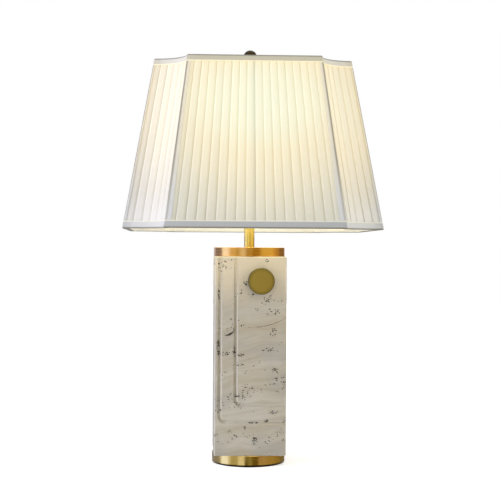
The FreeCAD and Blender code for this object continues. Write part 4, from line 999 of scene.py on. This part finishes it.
# Tapes over the eight upright edges, wider on the flat side than in the scoop. Its bands count from the edge on
# the flat side over the fold
tape = {"sideWidth": (8.5 * mm, 5.5 * mm), "scoopWidth": (3.6 * mm, 2.6 * mm),
        "thickness": 0.7 * mm, "rounding": 0.9 * mm, "rows": 16, "swell": 0.1 * mm,
        "swellPace": 1.3, "proud": 0.1 * mm, "endGap": 0.2 * mm,
        "sideShares": (1.0, 0.75, 0.5, 0.25), "foldShares": ((-1, 0), (-0.3, 0.3), (0, 1)),
        "scoopShares": (0.4, 0.6, 0.8, 1.0),
        "bands": [-1.0, -0.75, -0.5, -0.3, -0.12, 0.0, 0.12, 0.4, 0.6, 0.8, 1.0]}


def tapeSection(height, sideWidth, scoopWidth, inset):
    # From the side across the fold on to the scoop, at +X -Y
    end = sideEnd(height, inset)
    front = inset - halfWidth(height)
    reach = scoopRadius(height) + inset
    fold = Vector((end, front, height))
    points = [Vector((end - sideWidth * share, front, height)) for share in tape["sideShares"]]
    points += [fold + Vector((x, y, 0)) * tape["rounding"] for x, y in tape["foldShares"]]
    points += [onScoop(height, inset, math.asin(inset / reach) + scoopWidth / reach * share)
               for share in tape["scoopShares"]]
    return points


def makeTape(number, quarter, mirrored):
    name = f"edgeTape{number}"
    low = shade["low"] + shade["lowHem"] + tape["endGap"]
    high = shade["high"] - shade["highHem"] - tape["endGap"]
    rings = []
    for row in range(tape["rows"] + 1):
        share = row / tape["rows"]
        widths = [between(*tape[label], share) for label in ("sideWidth", "scoopWidth")]
        outer, inner = [tapeSection(between(low, high, share), *widths, inset)
                        for inset in (tape["proud"], tape["proud"] + tape["thickness"])]
        outer[2] = outer[2] + Vector((0, math.sin(row * tape["swellPace"] + number) * tape["swell"], 0))
        rings.append([*outer, *reversed(inner)])
    if mirrored:
        rings = [[Vector((-point.y, -point.x, point.z)) for point in ring] for ring in rings]
    mesh = loft(name, [[turned(point, quarter) for point in ring] for ring in rings], capped=True)
    setBand(mesh, (tape["bands"] + tape["bands"][::-1]) * len(rings))
    piece = newObject(name, mesh, [finishes["tape"]], "shade", 45)
    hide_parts("edge_bindings")


for quarter in range(4):
    makeTape(2 * quarter + 1, quarter, False)
    makeTape(2 * quarter + 2, quarter, True)
print("tapes made")


# Foam pad under the lower disc
pad = {"roundness": 0.5 * mm, "steps": 96}


def makePad():
    low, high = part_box("base_pad")
    soft = pad["roundness"]
    section = [(high.x - soft, low.z), (high.x, low.z + soft), (high.x, high.z - soft), (high.x - soft, high.z)]
    angles = [math.tau * step / pad["steps"] for step in range(pad["steps"])]
    rings = [[(reach * math.cos(angle), reach * math.sin(angle), level) for angle in angles]
             for reach, level in section]
    piece = newObject("footPad", loft("footPad", rings, capped=True), [finishes["foam"]], "root", 30)
    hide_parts("base_pad")


makePad()
print("pad made")


# Studio: a pale floor, a soft key from the left, a weaker fill from the right
studio = {"floorHalf": 6.0, "world": 0.58, "floor": (0.80, 0.80, 0.79), "floorRoughness": 0.9,
          "floorLevel": (0.3, 3.0, 0.50, 0.80), "contact": (0.0558, 0.0600), "contactShadowShape": (1.05, 0.93, 1.0),
          "aim": (0.0, 0.0, 0.34)}
# Level, size, turn to the left and rise in degrees, reach and tint
lamps = {
    "key": (0.46, (0.7, 1.0), 66.0, 22.0, 1.15, (0.97, 0.98, 1.14)),
    "fill": (0.27, (1.2, 1.4), -62.0, 14.0, 2.2, (1.0, 1.0, 0.95)),
}
bulbLight = {"energy": 1.2, "tint": (1.0, 0.82, 0.50), "softness": 0.028, "place": (0.0, 0.0, 0.56)}
# What the discs mirror: from, to, colour, with the mirrored direction in degrees to the left of the front
farCards = [(146, 180, (0.60, 0.68, 0.92)), (101, 146, (0.25, 0.24, 0.42)), (70, 101, (1.06, 1.25, 2.3)),
            (47, 70, (0.66, 0.58, 0.42)), (33, 47, (0.50, 0.42, 0.20)), (13, 33, (0.75, 0.79, 0.92)),
            (4, 13, (0.36, 0.26, 0.08)), (-6, 4, (0.50, 0.42, 0.18)), (-34, -6, (0.345, 0.215, 0.02)),
            (-84, -34, (0.67, 0.565, 0.235)), (-95, -84, (0.58, 0.43, 0.15)), (-110, -95, (0.44, 0.29, 0.12)),
            (-160, -110, (0.22, 0.16, 0.10)), (-180, -160, (0.8, 0.75, 0.7))]
nearCards = [(104, 180, (0.30, 0.32, 0.40)), (69, 97, (1.1, 1.32, 2.2)), (97, 104, (0.6, 0.65, 0.8)),
             (60, 69, (0.72, 0.76, 0.85)), (35, 60, (0.46, 0.46, 0.34)), (14, 35, (0.84, 0.90, 1.0)),
             (2, 14, (0.15, 0.13, 0.03)), (-10, 2, (0.28, 0.27, 0.14)), (-30, -10, (0.14, 0.10, 0.02)),
             (-58, -30, (0.42, 0.33, 0.22)), (-90, -58, (0.376, 0.295, 0.14)), (-118, -90, (0.32, 0.246, 0.09)),
             (-180, -118, (0.22, 0.19, 0.12))]
cardSize = {"start": 0.0563, "middle": 0.35, "far": 2.6, "top": 3.0, "floorGap": 0.0015, "step": 6.0,
            "viewTurn": 2.8}


def bearing(degrees):
    # Level direction, turned to the left of the front
    return Vector((-math.sin(math.radians(degrees)), -math.cos(math.radians(degrees)), 0))


def makeLamp(name):
    # A level of 1 makes a face that is turned to the lamp render as its colour is written
    level, size, turn, rise, reach, tint = lamps[name]
    data = bpy.data.lights.new(name, "AREA")
    data.shape = "RECTANGLE"
    data.size, data.size_y = size
    data.energy = level * (math.pi * reach) ** 2
    data.color = tint
    lamp = placed(name, data)
    aim, up = Vector(studio["aim"]), math.radians(rise)
    lamp.location = aim + (bearing(turn) * math.cos(up) + Vector((0, 0, math.sin(up)))) * reach
    lamp.rotation_euler = (aim - lamp.location).to_track_quat("-Z", "Y").to_euler()
    lamp.visible_glossy = False


def makeBulbLight():
    data = bpy.data.lights.new("bulbLight", "POINT")
    data.energy = bulbLight["energy"]
    data.color = bulbLight["tint"]
    data.shadow_soft_size = bulbLight["softness"]
    placed("bulbLight", data).location = bulbLight["place"]


def seenDirectly(beside):
    # 1 where the camera, a mirror or a glass looks, 0 for the light that falls on things
    rays = addNode(beside.id_data, "LightPath").outputs
    return greatest(*[rays[f"Is {kind} Ray"] for kind in ("Camera", "Glossy", "Transmission")])


def flatMesh(name, corners, faces):
    mesh = bpy.data.meshes.new(name)
    mesh.from_pydata(corners, [], faces)
    mesh.update()
    made = placed(name, mesh)
    return made


def makeFloor():
    half = studio["floorHalf"]
    floor = flatMesh("floor", [(-half, -half, 0), (half, -half, 0), (half, half, 0), (-half, half, 0)],
                     [(0, 1, 2, 3)])
    material, surface, place = newMaterial("paleFloor", Roughness=studio["floorRoughness"])
    # Painted contact shadow: the floor is painted dark in a ring round the lower disc
    clear = ramp(lengthOf(scaled(place, *studio["contactShadowShape"])), *studio["contact"])
    level = times(ramp(lengthOf(place), *studio["floorLevel"]), clear)
    feed(surface.inputs["Base Color"], mix(clear, black, studio["floor"]))
    glow = namedNode("Emission", {"Strength": times(seenDirectly(place), level)})
    both = fedNode("AddShader", surface.outputs[0], glow.outputs[0])
    feed(material.node_tree.nodes["Material Output"].inputs["Surface"], both.outputs[0])
    floor.data.materials.append(material)


def makeWorld():
    world = bpy.data.worlds.new("studio")
    world.use_nodes = True
    back = world.node_tree.nodes["Background"]
    feed(back.inputs["Color"], (1.0, 1.0, 1.0))
    feed(back.inputs["Strength"], ramp(seenDirectly(back), 0.0, 1.0, studio["world"], 1.0, smooth=False))
    bpy.context.scene.world = world


def makeCard(name, start, end, tint, section):
    # Part of a floor or a wall, seen only in the metal. Each edge runs on from the spot on a disc that mirrors it;
    # section: reaches from there, and heights
    steps = max(2, round((end - start) / cardSize["step"]))
    corners = []
    for step in range(steps + 1):
        mirrored = start + (end - start) * step / steps
        spot = bearing((mirrored + cardSize["viewTurn"]) / 2) * cardSize["start"]
        along = bearing(mirrored)
        corners.extend((*(spot + along * reach).xy, height) for reach, height in section)
    faces = []
    width = len(section)
    for step in range(steps):
        for row in range(width - 1):
            first = step * width + row
            faces.append((first, first + width, first + width + 1, first + 1))
    card = flatMesh(name, corners, faces)
    material = bpy.data.materials.new(f"{name}Light")
    material.use_nodes = True
    tree = material.node_tree
    glow = addNode(tree, "Emission")
    feed(glow.inputs["Color"], tint)
    feed(tree.nodes["Material Output"].inputs["Surface"], glow.outputs[0])
    card.data.materials.append(material)
    for setting in ("visible_camera", "visible_diffuse", "visible_shadow", "visible_transmission"):
        setattr(card, setting, False)


makeFloor()
makeWorld()
makeLamp("key")
makeLamp("fill")
middle, far, gap = cardSize["middle"], cardSize["far"], cardSize["floorGap"]
for kind, cards, section in (("near", nearCards, [(0.0, gap), (middle, gap)]),
                             ("far", farCards, [(middle, gap), (far, gap), (far, cardSize["top"])])):
    for number, (start, end, tint) in enumerate(cards):
        makeCard(f"{kind}Card{number + 1}", start, end, tint, section)
makeBulbLight()
bpy.context.scene.view_settings.view_transform = "Standard"
print("studio made")
